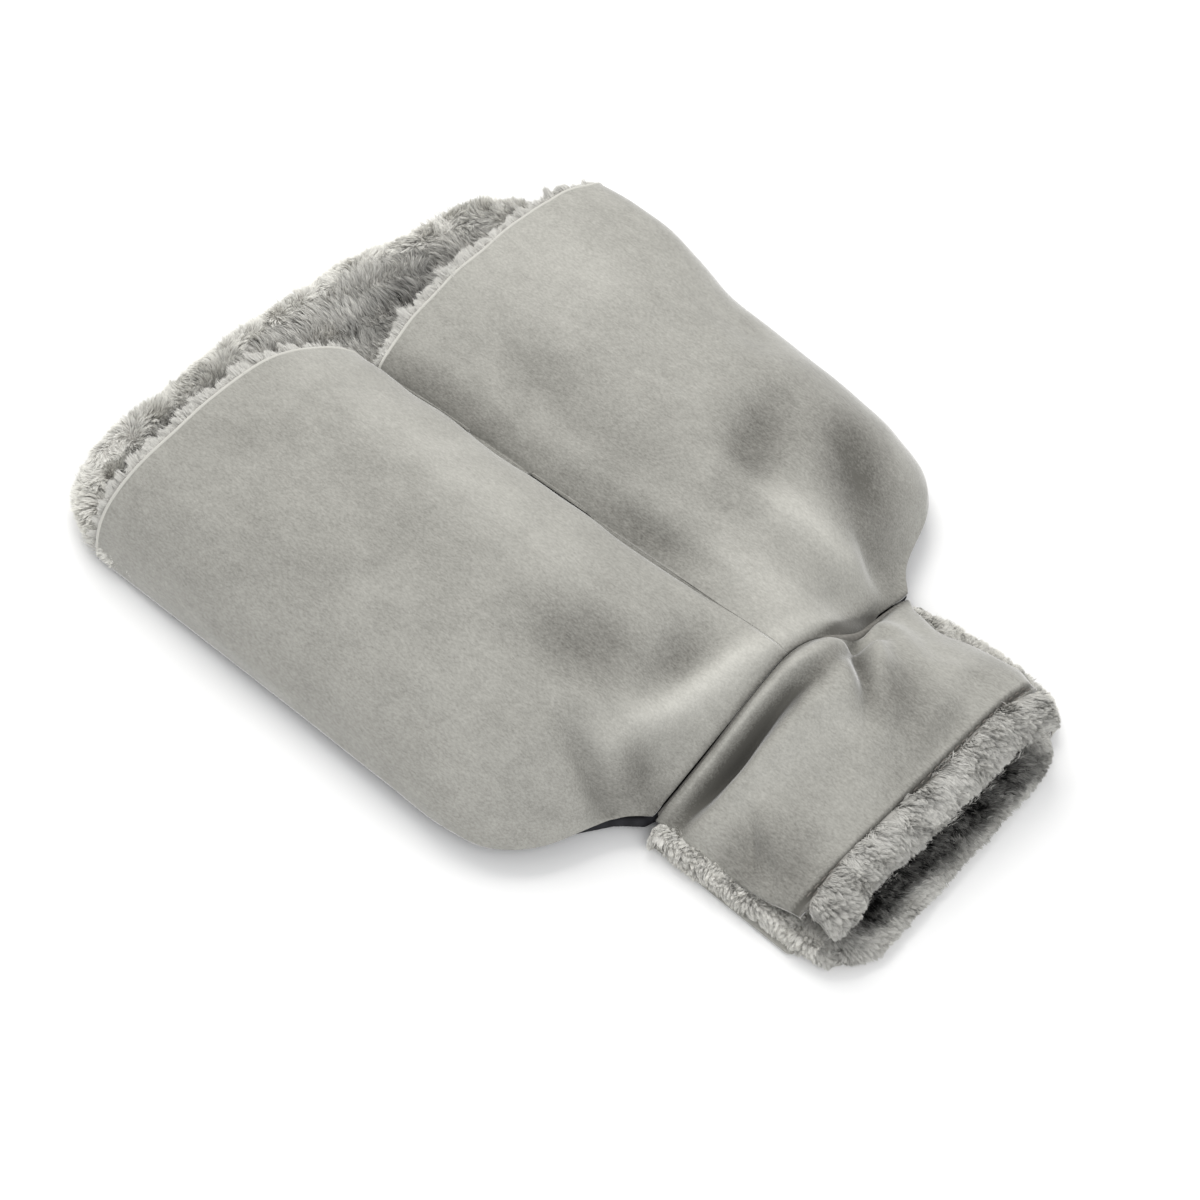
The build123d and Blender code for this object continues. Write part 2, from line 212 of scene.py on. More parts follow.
def hairs(roots, normals, flow, length, width, seed, lift=1.0, droop=0.5, tone=0.0, messy=0.2, lock=2.2):
    """Fur: each hair is a ribbon that tapers to a point. It leaves its root along the normal times lift plus its flow,
    bends over towards the flow by droop, and turns its flat side outward and up. Hairs whose roots share a cube of
    lock millimetres lean their tips together, have one length and lean to one tone."""
    rng = np.random.default_rng(seed)
    count = len(roots)
    scattered = flow + rng.normal(0, messy, (count, 3))
    sway = swirl(roots, 5 * lock, seed + 600) * 0.8
    cube = np.floor((roots @ LOCK_TURN + rng.normal(0, lock * 0.26, (count, 3))) / lock + sway)
    _, lock_of, members = np.unique(cube, axis=0, return_inverse=True, return_counts=True)
    lock_of = lock_of.ravel()
    length = length * rng.uniform(0.75, 1.1, (count, 1)) * rng.uniform(0.8, 1.15, len(members))[lock_of, None]
    start = unit(normals * lift + scattered)
    facing = normals + np.array([0, 0, 0.8])
    side = unit(unit(np.cross(start, facing)) + rng.normal(0, 0.22, (count, 3)))
    steps = np.array((0.0, HAIR_MIDDLE, 1.0))[:, None, None]
    bend = (unit(scattered + 1e-6) - normals * 0.3) * droop
    middle = roots + length * (start * steps + bend * steps ** 2 * 0.5)
    together = np.stack([np.bincount(lock_of, middle[2, :, k]) for k in range(3)], axis=-1) / members[:, None]
    pull = together[lock_of] - middle[2]
    middle = middle + pull * (LOCK_PULL * steps ** LOCK_CURVE)
    middle[..., 2] = np.maximum(middle[..., 2], LOWEST_HAIR)
    half = side * width / 2 * rng.uniform(0.7, 1.3, (count, 1))
    inner = half * HAIR_TAPER
    points = np.concatenate([middle[0] - half, middle[0] + half, middle[1] - inner, middle[1] + inner, middle[2]])
    ring = [np.arange(count) + k * count for k in range(5)]
    faces = np.concatenate([np.stack([ring[k] for k in three], axis=1) for three in ((0, 1, 3), (0, 3, 2), (2, 3, 4))])
    tips = np.repeat([0.0, 0.0, HAIR_MIDDLE, HAIR_MIDDLE, 1.0], count)
    own_tone = rng.normal(0.5, 0.14, count) + rng.normal(0, 0.12, len(members))[lock_of]
    own_tone = own_tone + 0.1 * ripple(roots, 4.5, seed + 500)
    tones = np.tile(np.clip(own_tone + tone, -0.8, 1), 5)
    return Patch(points, [faces], tip=tips, tone=tones)


def make_piece(name, patches, material, stands_for=()):
    """Joins patches into one smooth mesh piece, in metres, hangs it on the muff's body empty and hides the model parts
    it stands for.
    """
    mesh = bpy.data.meshes.new(name)
    points = np.concatenate([p.points for p in patches]) * MM
    offset, loops, sizes = 0, [], []
    for patch in patches:
        for faces in patch.faces:
            loops.append((faces + offset).ravel())
            sizes.append(np.full(len(faces), faces.shape[1]))
        offset += len(patch.points)
    loops, sizes = np.concatenate(loops), np.concatenate(sizes)
    mesh.vertices.add(len(points))
    mesh.vertices.foreach_set("co", points.ravel())
    mesh.loops.add(len(loops))
    mesh.loops.foreach_set("vertex_index", loops.astype(np.int32))
    mesh.polygons.add(len(sizes))
    mesh.polygons.foreach_set("loop_start", np.concatenate([[0], np.cumsum(sizes)[:-1]]).astype(np.int32))
    mesh.update(calc_edges=True)
    for key in sorted({key for p in patches for key in p.numbers}):
        values = np.concatenate([p.numbers.get(key, np.full(len(p.points), 0.5)) for p in patches])
        mesh.attributes.new(key, "FLOAT", "POINT").data.foreach_set("value", values.astype(np.float32))
    mesh.polygons.foreach_set("use_smooth", np.ones(len(sizes), bool))
    mesh.update()
    mesh.materials.append(material)
    piece = bpy.data.objects.new(name, mesh)
    bpy.context.scene.collection.objects.link(piece)
    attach(piece, "muff")
    if stands_for:
        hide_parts(*stands_for)
    return piece


def solidify(piece, thickness):
    """Gives a cloth surface its thickness, inward from its face."""
    cloth = piece.modifiers.new("cloth", "SOLIDIFY")
    cloth.thickness = thickness * MM
    cloth.offset = -1.0
    cloth.use_rim = True


def tube_patch(line, radius, sides=10, **numbers):
    """A round tube carried along a line of points, closed to a point at both ends by its radius."""
    ways = unit(np.gradient(line, axis=0))
    up = unit(np.cross(ways, np.array([0.31, 0.17, 0.93])))
    over = np.cross(ways, up)
    turn = np.linspace(0, 2 * math.pi, sides, endpoint=False)[None, :, None]
    radius = np.broadcast_to(radius, len(line))[:, None, None]
    ring = line[:, None] + radius * (np.cos(turn) * up[:, None] + np.sin(turn) * over[:, None])
    return grid_patch(ring, wrap=True, poles=(0, -1), **numbers)


# ---- Shader maths ----
class Wire:
    """A socket that can be added, subtracted, multiplied and divided."""

    def __init__(self, nodes, socket):
        self.nodes = nodes
        self.socket = socket

    def _math(self, operation, first, second):
        return self.nodes.add("ShaderNodeMath", {"operation": operation}, {0: first, 1: second})

    def __add__(self, other):
        return self._math("ADD", self, other)

    __radd__ = __add__

    def __sub__(self, other):
        return self._math("SUBTRACT", self, other)

    def __rsub__(self, other):
        return self._math("SUBTRACT", other, self)

    def __mul__(self, other):
        return self._math("MULTIPLY", self, other)

    __rmul__ = __mul__

    def __truediv__(self, other):
        return self._math("DIVIDE", self, other)

    def clamped(self, low=0.0, high=1.0):
        return self.nodes.add("ShaderNodeClamp", {}, {"Value": self, "Min": low, "Max": high})


class Nodes:
    """Adds nodes to one material's tree."""

    def __init__(self, material):
        self.tree = material.node_tree
        self.tree.nodes.clear()

    def add(self, kind, settings, inputs, output=0):
        node = self.tree.nodes.new(kind)
        for key, value in settings.items():
            setattr(node, key, value)
        for key, value in inputs.items():
            if isinstance(value, Wire):
                self.tree.links.new(value.socket, node.inputs[key])
            else:
                node.inputs[key].default_value = value
        return Wire(self, node.outputs[output]) if node.outputs else None

    def place(self):
        """A point's place on its object, in metres."""
        return self.add("ShaderNodeTexCoord", {}, {}, "Object")

    def scaled(self, vector, scale, turn=(0, 0, 0)):
        return self.add("ShaderNodeMapping", {}, {"Vector": vector, "Scale": scale, "Rotation": turn})

    def noise(self, vector, size, detail=2.0, rough=0.5, distortion=0.0):
        """Noise whose blobs are size millimetres across."""
        return self.add("ShaderNodeTexNoise", {}, {
            "Vector": vector, "Scale": 1 / (size * MM), "Detail": detail, "Roughness": rough, "Distortion": distortion,
        })

    def number(self, name):
        """A number that the mesh carries at each point."""
        return self.add("ShaderNodeAttribute", {"attribute_name": name}, {}, "Fac")

    def wave(self, vector, direction, scale, distortion, profile="SIN", **more):
        """Bands across one axis."""
        return self.add("ShaderNodeTexWave", {"bands_direction": direction, "wave_profile": profile}, {
            "Vector": vector, "Scale": scale, "Distortion": distortion, **more})

    def mix(self, share, first, second):
        """A colour between two. The Mix node keeps its sockets for colours at 6, 7 and 2."""
        return self.add("ShaderNodeMix", {"data_type": "RGBA"}, {0: share, 6: first, 7: second}, 2)

    def bump(self, height, depth, strength):
        """A surface that height, from 0 to 1, raises by depth millimetres."""
        return self.add("ShaderNodeBump", {}, {"Height": height, "Distance": depth * MM, "Strength": strength})

    def finish(self, **sockets):
        """The surface shader, with its sockets by name, joined to the output."""
        names = {key.replace("_", " ").title().replace("Ior", "IOR"): value for key, value in sockets.items()}
        shader = self.add("ShaderNodeBsdfPrincipled", {}, names)
        self.add("ShaderNodeOutputMaterial", {}, {"Surface": shader})


def opaque(colour, lighter=1.0):
    """A colour with its alpha, made lighter or darker."""
    return tuple(min(1.0, c * lighter) for c in colour) + (1.0,)


def new_material(name, recipe, *args):
    """One material of each name, made by its recipe the first time it is asked for. Its name has a prefix of its own,
    so that it is never one of the model's plain slot materials."""
    name = "muff_" + name
    if name in bpy.data.materials:
        return bpy.data.materials[name]
    material = bpy.data.materials.new(name)
    material.use_nodes = True
    recipe(Nodes(material), *args)
    return material


def velour(nodes, dark, light):
    """Short brushed pile: light and dark nap, with painted shade and painted highlights at the folds, in soft patches
    and fine flecks along the brushing, with a fine bump.
    """
    place = nodes.place()
    fleck_place = nodes.scaled(place, (1.0, 0.42, 1.0), (0, 0, math.radians(24)))
    patches = nodes.noise(place, 38, 3, 0.55, 0.6)
    brushed = nodes.noise(fleck_place, 5.5, 4, 0.62, 0.8)
    flecks = nodes.noise(fleck_place, 0.75, 3, 0.7)
    # The pile's number carries painted shade in the folds' dents, creases and seams and painted highlights on their
    # puffs, as well as the nap.
    nap = nodes.number("nap") + (patches - 0.5) * 0.3 + (brushed - 0.5) * 0.26 + (flecks - 0.5) * 0.7
    colour = nodes.mix(nap.clamped(), dark, light)
    pile = nodes.noise(fleck_place, 0.55, 2, 0.6) * 0.5 + brushed * 0.5
    nodes.finish(
        base_color=colour, roughness=0.9, specular_ior_level=0.1, sheen_weight=0.8, sheen_roughness=0.35,
        normal=nodes.bump(pile, 0.5, 0.6),
    )


def fur(nodes, root, tip):
    """Fur: dark at the roots, pale at the tips, the dark roots being painted shade deep in the pile; each hair with its
    own tone, in broad lighter and darker patches.
    """
    place = nodes.place()
    patches = nodes.noise(place, 20, 2, 0.5)
    depth = nodes.mix(nodes.number("tip").clamped(), root, tip)
    tone = nodes.number("tone") + (patches - 0.5) * 0.5
    # Low tones run down to black: each hair's own tone, and the painted shadows that the hand floor and the lip pass
    # in.
    colour = nodes.mix((tone * 0.8 + 0.56).clamped(), BLACK, depth)
    flecks = nodes.noise(place, 0.8, 2, 0.6)
    nodes.finish(
        base_color=colour, roughness=0.85, specular_ior_level=0.08, sheen_weight=0.03, sheen_roughness=0.5,
        normal=nodes.bump(flecks, 0.25, 0.4),
    )


# Bands of a wave texture in each unit of length at scale 1
BANDS_AT_ONE = 20


def woven(nodes, dark, light, thread):
    """Plain woven cloth: crossed threads of one width in millimetres, in bump and a little in colour."""
    place = nodes.place()
    scale = 1 / (thread * MM) / BANDS_AT_ONE
    weft, warp = (nodes.wave(place, way, scale, 0.6, Detail=1.0) for way in "XY")
    blotches = nodes.noise(place, 12, 3)
    height = (weft + warp) * 0.5
    colour = nodes.mix((height * 0.5 + blotches * 0.5).clamped(), dark, light)
    nodes.finish(base_color=colour, roughness=0.9, specular_ior_level=0.2, normal=nodes.bump(height, 0.3, 0.6))


def moulded(nodes, colour, other, gloss, grain):
    """Moulded rubber or plastic: slight mottling, a fine grain and gloss that is a little uneven."""
    place = nodes.place()
    mottle = nodes.noise(place, 9, 3)
    fine = nodes.noise(place, grain, 2)
    nodes.finish(
        base_color=nodes.mix(mottle, colour, other), roughness=(mottle * 0.15 + gloss).clamped(),
        normal=nodes.bump(fine, 0.1, 0.4),
    )


def ribbed_rubber(nodes, colour, other):
    """The bottle's rubber: fine ribs along its length on a dull, slightly mottled skin."""
    place = nodes.place()
    ribs = nodes.wave(place, "X", 16.0, 0.0)
    mottle = nodes.noise(place, 14, 3)
    nodes.finish(
        base_color=nodes.mix(mottle, colour, other), roughness=(mottle * 0.2 + 0.45).clamped(),
        normal=nodes.bump(ribs, 0.7, 0.7),
    )


def brass(nodes):
    """Turned brass with faint tool marks and tarnish."""
    place = nodes.place()
    turned = nodes.wave(place, "Y", 90.0, 0.4, "SAW")
    tarnish = nodes.noise(place, 4, 4)
    colour = nodes.mix(tarnish, (0.66, 0.47, 0.2, 1), (0.45, 0.3, 0.13, 1))
    nodes.finish(
        base_color=colour, metallic=1.0, roughness=(tarnish * 0.3 + 0.22).clamped(),
        normal=nodes.bump(turned, 0.05, 0.5),
    )


# ---- Shapes of the velour ----
# Each row of a pocket: y, side x, side z, crest x, crest z, centre seam z, roundness outside and inside, share of the
# neck's bell shape
POCKET_ROWS = {
    LEFT: (
        (-97.5, 74, 12, 36, 30, 46.0, 2.0, 1.9, 1.00),
        (-87, 86, 11, 44, 37, 45.0, 2.0, 1.9, 0.80),
        (-77, 111, 10, 52, 42, 43.8, 2.0, 1.9, 0.52),
        (-63, 126, 9, 60, 47, 42.0, 2.0, 1.9, 0.28),
        (-45, 131.5, 8.5, 64, 50, 40.0, 2.05, 1.9, 0.12),
        (-10, 133, 8.5, 66, 53, 37.5, 2.1, 1.9, 0.02),
        (40, 133.5, 7, 69, 55, 34.0, 2.15, 1.9, 0),
        (110, 134.5, 4.5, 71, 55.5, 30.5, 2.2, 1.9, 0),
        (157, 135, 2, 71, 54, 27.0, 2.2, 1.85, 0),
    ),
    RIGHT: (
        (-97.5, 74, 12, 36, 28, 46.0, 2.0, 1.9, 1.00),
        (-87, 86, 11, 46, 36, 45.0, 2.0, 1.8, 0.80),
        (-77, 110, 10, 56, 41, 43.8, 2.1, 1.7, 0.50),
        (-63, 126, 9, 66, 45, 42.0, 2.2, 1.7, 0.26),
        (-45, 131.5, 8, 74, 48, 40.0, 2.4, 1.7, 0.10),
        (-10, 134, 7, 82, 50, 37.0, 2.5, 1.6, 0.02),
        (25, 135, 6, 87, 51, 34.8, 2.6, 1.55, 0),
        (55, 135.5, 5, 92, 51, 33, 2.9, 1.5, 0),
        (85, 138.5, 4, 101, 51.5, 31, 4.0, 1.47, 0),
        (115, 139.5, 4, 105, 51.5, 28.0, 4.6, 1.42, 0),
        (157, 138, 4, 107, 45.5, 22.0, 4.4, 1.35, 0),
    ),
}
# The mouth's line: y at rising shares of the way round from the side seam to the centre seam
MOUTH_SHARES = (0, 0.12, 0.25, 0.4, 0.5, 0.65, 0.8, 0.92, 1)
MOUTH_LINE = {
    LEFT: (158, 156, 153.5, 151, 151.5, 152, 146.5, 139, 133),
    RIGHT: (135.5, 134, 131, 130.5, 135, 139, 138, 134, 132),
}
# Creases, dents and puffs of each pocket: x, y, turn, long, wide, height
POCKET_FOLDS = {
    LEFT: (
        (-85, -76, 82, 12, 3.6, -6.0),
        (-72, -80, 95, 11, 5.0, 2.4),
        (-27, -67, 20, 11, 7.0, -4.2),
        (-32, -82, 168, 26, 5.5, 3.2),
        (-52, -42, 100, 22, 12.0, -3.6),
        (-62, -68, 120, 13, 6.0, 2.6),
        (-58, -88, 110, 8, 3.0, -2.0),
        (-112, -40, 95, 30, 9.0, -1.4),
        (-60, 60, 60, 40, 16.0, -1.4),
        (-40, 120, 90, 30, 14.0, 1.2),
    ),
    RIGHT: (
        (8, -22, 92, 26, 5.0, -3.0),
        (68, -20, 35, 17, 9.0, -4.4),
        (54, -66, 95, 26, 6.5, 3.8),
        (90, -58, 60, 13, 10.0, -4.4),
        (70, -78, 70, 10, 4.0, -2.4),
        (22, -68, 100, 22, 9.0, 2.0),
        (36, 74, 90, 34, 9.0, -2.2),
        (28, 30, 95, 26, 8.0, -2.2),
        (112, 30, 92, 14, 8.0, -2.8),
        (84, 90, 70, 30, 14.0, 1.6),
    ),
}
# Patches of brushed nap and of painted light and shade, lighter (+) or darker (-): the dark ones in the dents, creases
# and seams are painted shade, the light ones on the puffs and ridges are painted highlights: x, y, turn, long, wide,
# strength
NAP_AND_SHADE_PATCHES = (
    (-52, -40, 110, 20, 13, -0.34), (-27, -68, 20, 10, 7, -0.28), (-72, -88, 60, 10, 7, -0.3),
    (-85, -74, 82, 12, 4, -0.25), (-30, -82, 168, 28, 5, 0.5), (-66, 46, 80, 34, 15, -0.1),
    (-26, 60, 90, 60, 10, 0.14), (-100, 90, 60, 40, 16, -0.06), (8, -20, 92, 26, 7, -0.3),
    (68, -20, 30, 18, 10, -0.4), (90, -56, 55, 24, 11, -0.5), (54, -60, 95, 26, 6, 0.3), (18, -66, 95, 20, 9, 0.2),
    (44, -99, 10, 16, 4, -0.5), (30, 28, 95, 26, 8, -0.16), (36, 74, 90, 20, 8, -0.14), (6, 90, 90, 60, 6, -0.3),
    (80, 110, 90, 40, 20, 0.14), (-4, 20, 90, 60, 4, 0.1), (-34, -108, 177, 30, 3.6, -0.85),
    (-26, -101.5, 176, 34, 2.2, 0.25), (22, -115, 47, 14, 3, -0.5), (20, -138, 30, 13, 9, -0.42),
    (30, -112, 50, 14, 4, 0.2), (46, -128, 60, 20, 12, 0.12), (-40, -124, 170, 26, 6, 0.14),
    (-68, -138, 60, 12, 8, -0.3), (0, -160, 10, 44, 5, -0.12), (-60, -156, 40, 16, 8, -0.25),
    (0, -166.7, 0, 90, 1.2, -0.6), (-30, -97, 0, 44, 1.5, -0.4), (35, -98, 0, 34, 1.6, -0.4),
)


def nap_and_shade_of(points):
    """How the pile lies, with painted shade in the dents, creases and seams and painted highlights on the puffs, from
    dark to light, at points on the velour.
    """
    x, y = points[..., 0], points[..., 1]
    return 0.5 + folds_at(NAP_AND_SHADE_PATCHES, x, y)


def waist_y(x):
    """The waist seam's y: straight, with a bow towards the neck on its right half."""
    return WAIST_Y - WAIST_BOW * np.exp(-(((x - BOW_X) / BOW_WIDTH) ** 2))


def waist_z(x):
    """The waist seam's height, which the pockets and the neck share."""
    return neck_height(x, np.full_like(x, NECK_Y[-1]))


def pocket_arch(side, share, y, inset):
    """One pocket's arch at y: x (away from the seam) and z. Two rounded quarters, |x|^n + |z|^n = 1, meet at the crest:
    one out to the side seam and a flatter one down to the centre seam. Towards the waist it turns into the waist seam's
    own line."""
    rows_y, *shape = np.array(POCKET_ROWS[side]).T
    side_x, side_z, crest_x, crest_z, seam_z, n_out, n_in, as_bell = np.moveaxis(
        curve_through(rows_y, np.stack(shape, axis=1), y), -1, 0)
    side_x, crest_z, seam_z = side_x - inset, crest_z - inset, seam_z - inset * 0.6
    seam_x = 0.15 + inset
    turn = share * math.pi
    cos, sin = np.abs(np.cos(turn)), np.sin(turn)
    outer = share < 0.5
    n = np.where(outer, n_out, n_in)
    run = np.where(outer, side_x - crest_x, seam_x - crest_x)
    low = np.where(outer, side_z, seam_z)
    x = crest_x + run * cos ** (2 / n)
    z = low + (crest_z - low) * sin ** (2 / n)
    seam_line_x = side_x + (seam_x - side_x) * share
    seam_line_z = waist_z(side * seam_line_x * NECK_HALF_WIDTH / side_x) - inset
    return x + (seam_line_x - x) * as_bell, z + (seam_line_z - z) * as_bell


def pocket_grid(side, rows=170, columns=150, inset=0.0):
    """One pocket's outer face: its arches from the mouth's line to the waist seam, pushed out and in by its folds and
    pulled in along both seams."""
    share = np.linspace(0, 1, columns)[None, :]
    along = even_steps(rows, 0.5, 0.6)[::-1, None]
    mouth = curve_through(MOUTH_SHARES, MOUTH_LINE[side], share)
    waist = waist_y(side * NECK_HALF_WIDTH * (1 - share)) + 0.5
    y = waist + (mouth - waist) * along
    x, z = pocket_arch(side, share, y, inset)
    grid = surface(side * x, y, z)
    if side == LEFT:
        grid, y, x, share, waist = (values[:, ::-1] for values in (grid, y, x, share, waist))
    normals = normals_of(grid)
    push = folds_at(POCKET_FOLDS[side], grid[..., 0], grid[..., 1])
    push += ripple(grid, 75, 11) * 0.7 + ripple(grid, 32, 12) * 0.3
    hold = ease(0, 0.05, share) * ease(1.0, 0.97, share) * ease(0.3, 6, y - waist)
    deep = 1.6 + 2.2 * bell(grid[..., 0], grid[..., 1], 40, -100, 0, 16, 20)
    seam_dip = deep * np.exp(-(((y - waist) / 3.2) ** 2)) + 0.9 * np.exp(-(((x - 0.4 - inset) / 2.5) ** 2))
    return grid + normals * ((push * hold - seam_dip * ease(0.0, 0.1, share))[..., None])


# Heights of the neck's velour over x across and y along
NECK_X = (-74, -55, -38, -20, 0, 20, 38, 55, 74)
NECK_Y = (-169, -154, -135, -115, -98)
NECK_Z = (
    (20, 24, 24, 25, 27.5, 29.5, 30.5, 29, 23),
    (16, 22.5, 25, 28, 31, 33.5, 33.5, 28, 20),
    (12.5, 21.5, 27, 33, 37.5, 37, 33, 26, 16),
    (12, 21, 29, 38.5, 43, 38.5, 31, 22, 13),
    (12, 20, 28.5, 39, 45.5, 39, 27, 17, 12),
)
NECK_FOLDS = (
    (-34, -108, 177, 27, 3.2, -8.5),
    (-30, -101.8, 177, 30, 2.2, 2.2),
    (-32, -117, 173, 28, 5.0, 3.2),
    (33, -106.5, 150, 7, 3.0, -4.5),
    (22, -115.5, 47, 14, 2.8, -7.5),
    (31, -113, 50, 14, 4.0, 4.5),
    (8, -117, 60, 13, 4.5, 3.0),
    (46, -112, 75, 12, 5.0, 2.8),
    (10, -132, 20, 12, 4.0, -1.6),
    (20, -141, 30, 12, 6.0, -2.6),
    (-8, -146, 12, 26, 4.0, 1.4),
    (-62, -134, 50, 9, 2.4, -3.8),
    (-55, -139, 55, 9, 2.8, 2.2),
    (-66, -148, 40, 7, 2.4, -2.4),
    (-52, -158, 25, 14, 4.0, -2.0),
    (30, -158, 20, 18, 4.0, -1.6),
    (0, -166.7, 0, 90, 0.9, -2.2),
    (0, -164.5, 0, 90, 1.1, 0.8),
    (-48, -108, 178, 14, 3.4, -4.0),
)


def neck_height(x, y):
    """The neck's height: curves through its table, along X within each row and then along Y."""
    by_row = np.moveaxis(curve_through(NECK_X, np.array(NECK_Z).T, x), -1, 0)
    keys = np.array(NECK_Y, float)
    k = np.clip(np.searchsorted(keys, y, side="right") - 1, 0, len(keys) - 2)
    gap = keys[k + 1] - keys[k]
    s = np.clip((y - keys[k]) / gap, 0, 1)

    def row(i):
        return np.take_along_axis(by_row, np.clip(i, 0, len(keys) - 1)[None], axis=0)[0]

    before, low, high, after = row(k - 1), row(k), row(k + 1), row(k + 2)
    bend = 2 * before - 5 * low + 4 * high - after + s * (3 * (low - high) + after - before)
    return low + 0.5 * s * (high - before + s * bend)


def neck_grid(rows=130, columns=190, inset=0.0):
    """The neck's front face: a height over x and y with its folds, turned down at both side edges."""
    across = np.linspace(-1, 1, columns)[None, :] * np.ones((rows, 1))
    along = even_steps(rows, 0.4, 0.4)[:, None] * np.ones((1, columns))
    drawn_in = 3.0 + 4.5 * np.exp(-(((along - 0.32) / 0.15) ** 2)) + 5.0 * ease(0.8, 1.0, along)
    drawn_in = np.where(across > 0, drawn_in * ease(0, 0.1, along), 1.5 * ease(0.7, 1.0, along))
    half = NECK_HALF_WIDTH - inset * 0.4 - drawn_in
    x = across * half
    waist = waist_y(x) - 0.3
    y = waist + (CUFF_SEAM_Y - waist) * along
    shift = (waist - WAIST_Y) * (1 - along)
    z = neck_height(x, y - shift)
    edge = np.abs(across) ** 24
    grid = surface(x, y, z - edge * 3.0 - inset)
    normals = normals_of(grid)
    normals *= np.sign(normals[..., 2:3])
    push = folds_at(NECK_FOLDS, x, y - shift * 0.3) + ripple(grid, 40, 21) * 0.4 + ripple(grid, 17, 22) * 0.22
    push *= ease(0, 0.05, along)
    push -= (1.6 + 2.0 * np.exp(-(((x - 40) / 16) ** 2))) * np.exp(-((along / 0.04) ** 2))
    return grid + normals * (push * (1 - edge))[..., None]


# ---- Shapes of the fur pieces ----
# The hand floor along y: the height of its arch, its half width, and the height of its sides
FLOOR_Y = (-80, -66, -45, 0, 80, 138, 163, 188)
FLOOR_TOP = (34.0, 33.0, 29.5, 27.0, 22.0, 17.5, 15.0, 14.5)
FLOOR_HALF = (78, 106, 121, 124, 124, 123, 117, 100)
FLOOR_SIDE_Z = 9.6
FLOOR_FAR_Y, FLOOR_NEAR_Y = 189, -78


def floor_grid(rows=130, columns=120):
    """The fur panel under the hands: an arch over the bottle, flat towards the far edge."""
    along = np.linspace(FLOOR_FAR_Y, FLOOR_NEAR_Y, rows)[:, None]
    across = np.linspace(-1, 1, columns)[None, :]
    top = curve_through(FLOOR_Y, FLOOR_TOP, along)
    half = curve_through(FLOOR_Y, FLOOR_HALF, along)
    x = half * across
    grid = surface(x, along, FLOOR_SIDE_Z + (top - FLOOR_SIDE_Z) * (1 - np.abs(across) ** 2.6))
    grid[..., 2] += ripple(grid, 46, 51) * 0.7 + ripple(grid, 18, 52) * 0.35
    return grid


# The far edge, from the right side round to the left: x and y of its middle line
ROLL_POINTS = (
    (125, 118), (125.5, 138), (121, 158), (111, 173), (95, 181.5), (72, 186), (39, 192), (-6, 195.5),
    (-62, 192), (-92, 190.5), (-110, 185), (-121, 172), (-125.5, 155), (-126, 136), (-125, 118),
)
ROLL_RADIUS, ROLL_Z = 7.0, 8.0


def roll_line(count=170):
    """The far edge's line: a smooth curve through its points, at even steps."""
    points = np.array(ROLL_POINTS, float)
    chords = np.concatenate([[0], np.cumsum(np.linalg.norm(np.diff(points, axis=0), axis=1))])
    return curve_through(chords, points, np.linspace(0, chords[-1], count))


def edge_roll():
    """The far edge's fur roll: a circle carried round the edge's line, closing at both ends. Gives its surface and the
    way out from its middle."""
    line = roll_line()
    bulge = 1 + 0.06 * ripple(surface(line[:, 0], line[:, 1], 0.0), 40, 71)
    s = np.linspace(0, 1, len(line))
    ends = np.sin(np.clip(s * 14, 0, math.pi / 2)) * np.sin(np.clip((1 - s) * 14, 0, math.pi / 2))
    radius = ROLL_RADIUS * bulge * np.maximum(ends, 0.02)
    centre = surface(line[:, 0], line[:, 1], ROLL_Z)
    way = unit(np.gradient(centre, axis=0))
    out = surface(way[:, 1], -way[:, 0], 0.0)
    turn = np.linspace(0, 2 * math.pi, 26)[None, :, None]
    away = np.cos(turn) * out[:, None] + np.sin(turn) * np.array([0, 0, 1.0])
    return centre[:, None] + radius[:, None, None] * away, away


# The neck's inner back: its half width on the right side
TROUGH_Y = (-179, -170, -156, -136, -116, -100)
TROUGH_RIGHT = (66, 74, 77, 78, 75.5, 72)


def trough_grid():
    """The neck's inner back: a floor that turns down at both side edges, where its fur shows. Gives its surface and the
    way its fur stands."""
    y = np.linspace(-99.5, -179, 78)[:, None]
    share = np.linspace(-1, 1, 160)[None, :]
    half = np.where(share > 0, curve_through(TROUGH_Y, TROUGH_RIGHT, y), 79 + (y + 100) * 0.05)
    x = half * np.sin(share * math.pi / 2 * 0.999)
    edge = ease(0.83, 1.0, np.abs(share))
    grid = surface(x, y, 5.6 + 2.8 * ease(58, 72, np.abs(x)) - 6.4 * edge ** 2)
    grid[..., 0] += np.sign(x) * ripple(grid, 30, 83) * 0.5 * edge
    up = normals_of(grid)
    up *= np.sign(up[..., 2:3])
    up[..., 0] += np.sign(x) * edge * 0.5
    return grid, unit(up)


# The cuff's rim: the height of the velour it meets over x, its middle's y, its half width and half thickness,
# and the half width of the rounder oval that its hairs stand out from
CUFF_X = (-80, -66, -48, -20, 9, 38, 54, 64, 80)
CUFF_Z = (17.0, 20.5, 22.5, 24.0, 26.5, 28.5, 27.5, 23.0, 16.0)
RIM_Y, RIM_WIDE, RIM_THICK, RIM_HAIR_WIDE = -171.2, 6.4, 4.8, 8.2


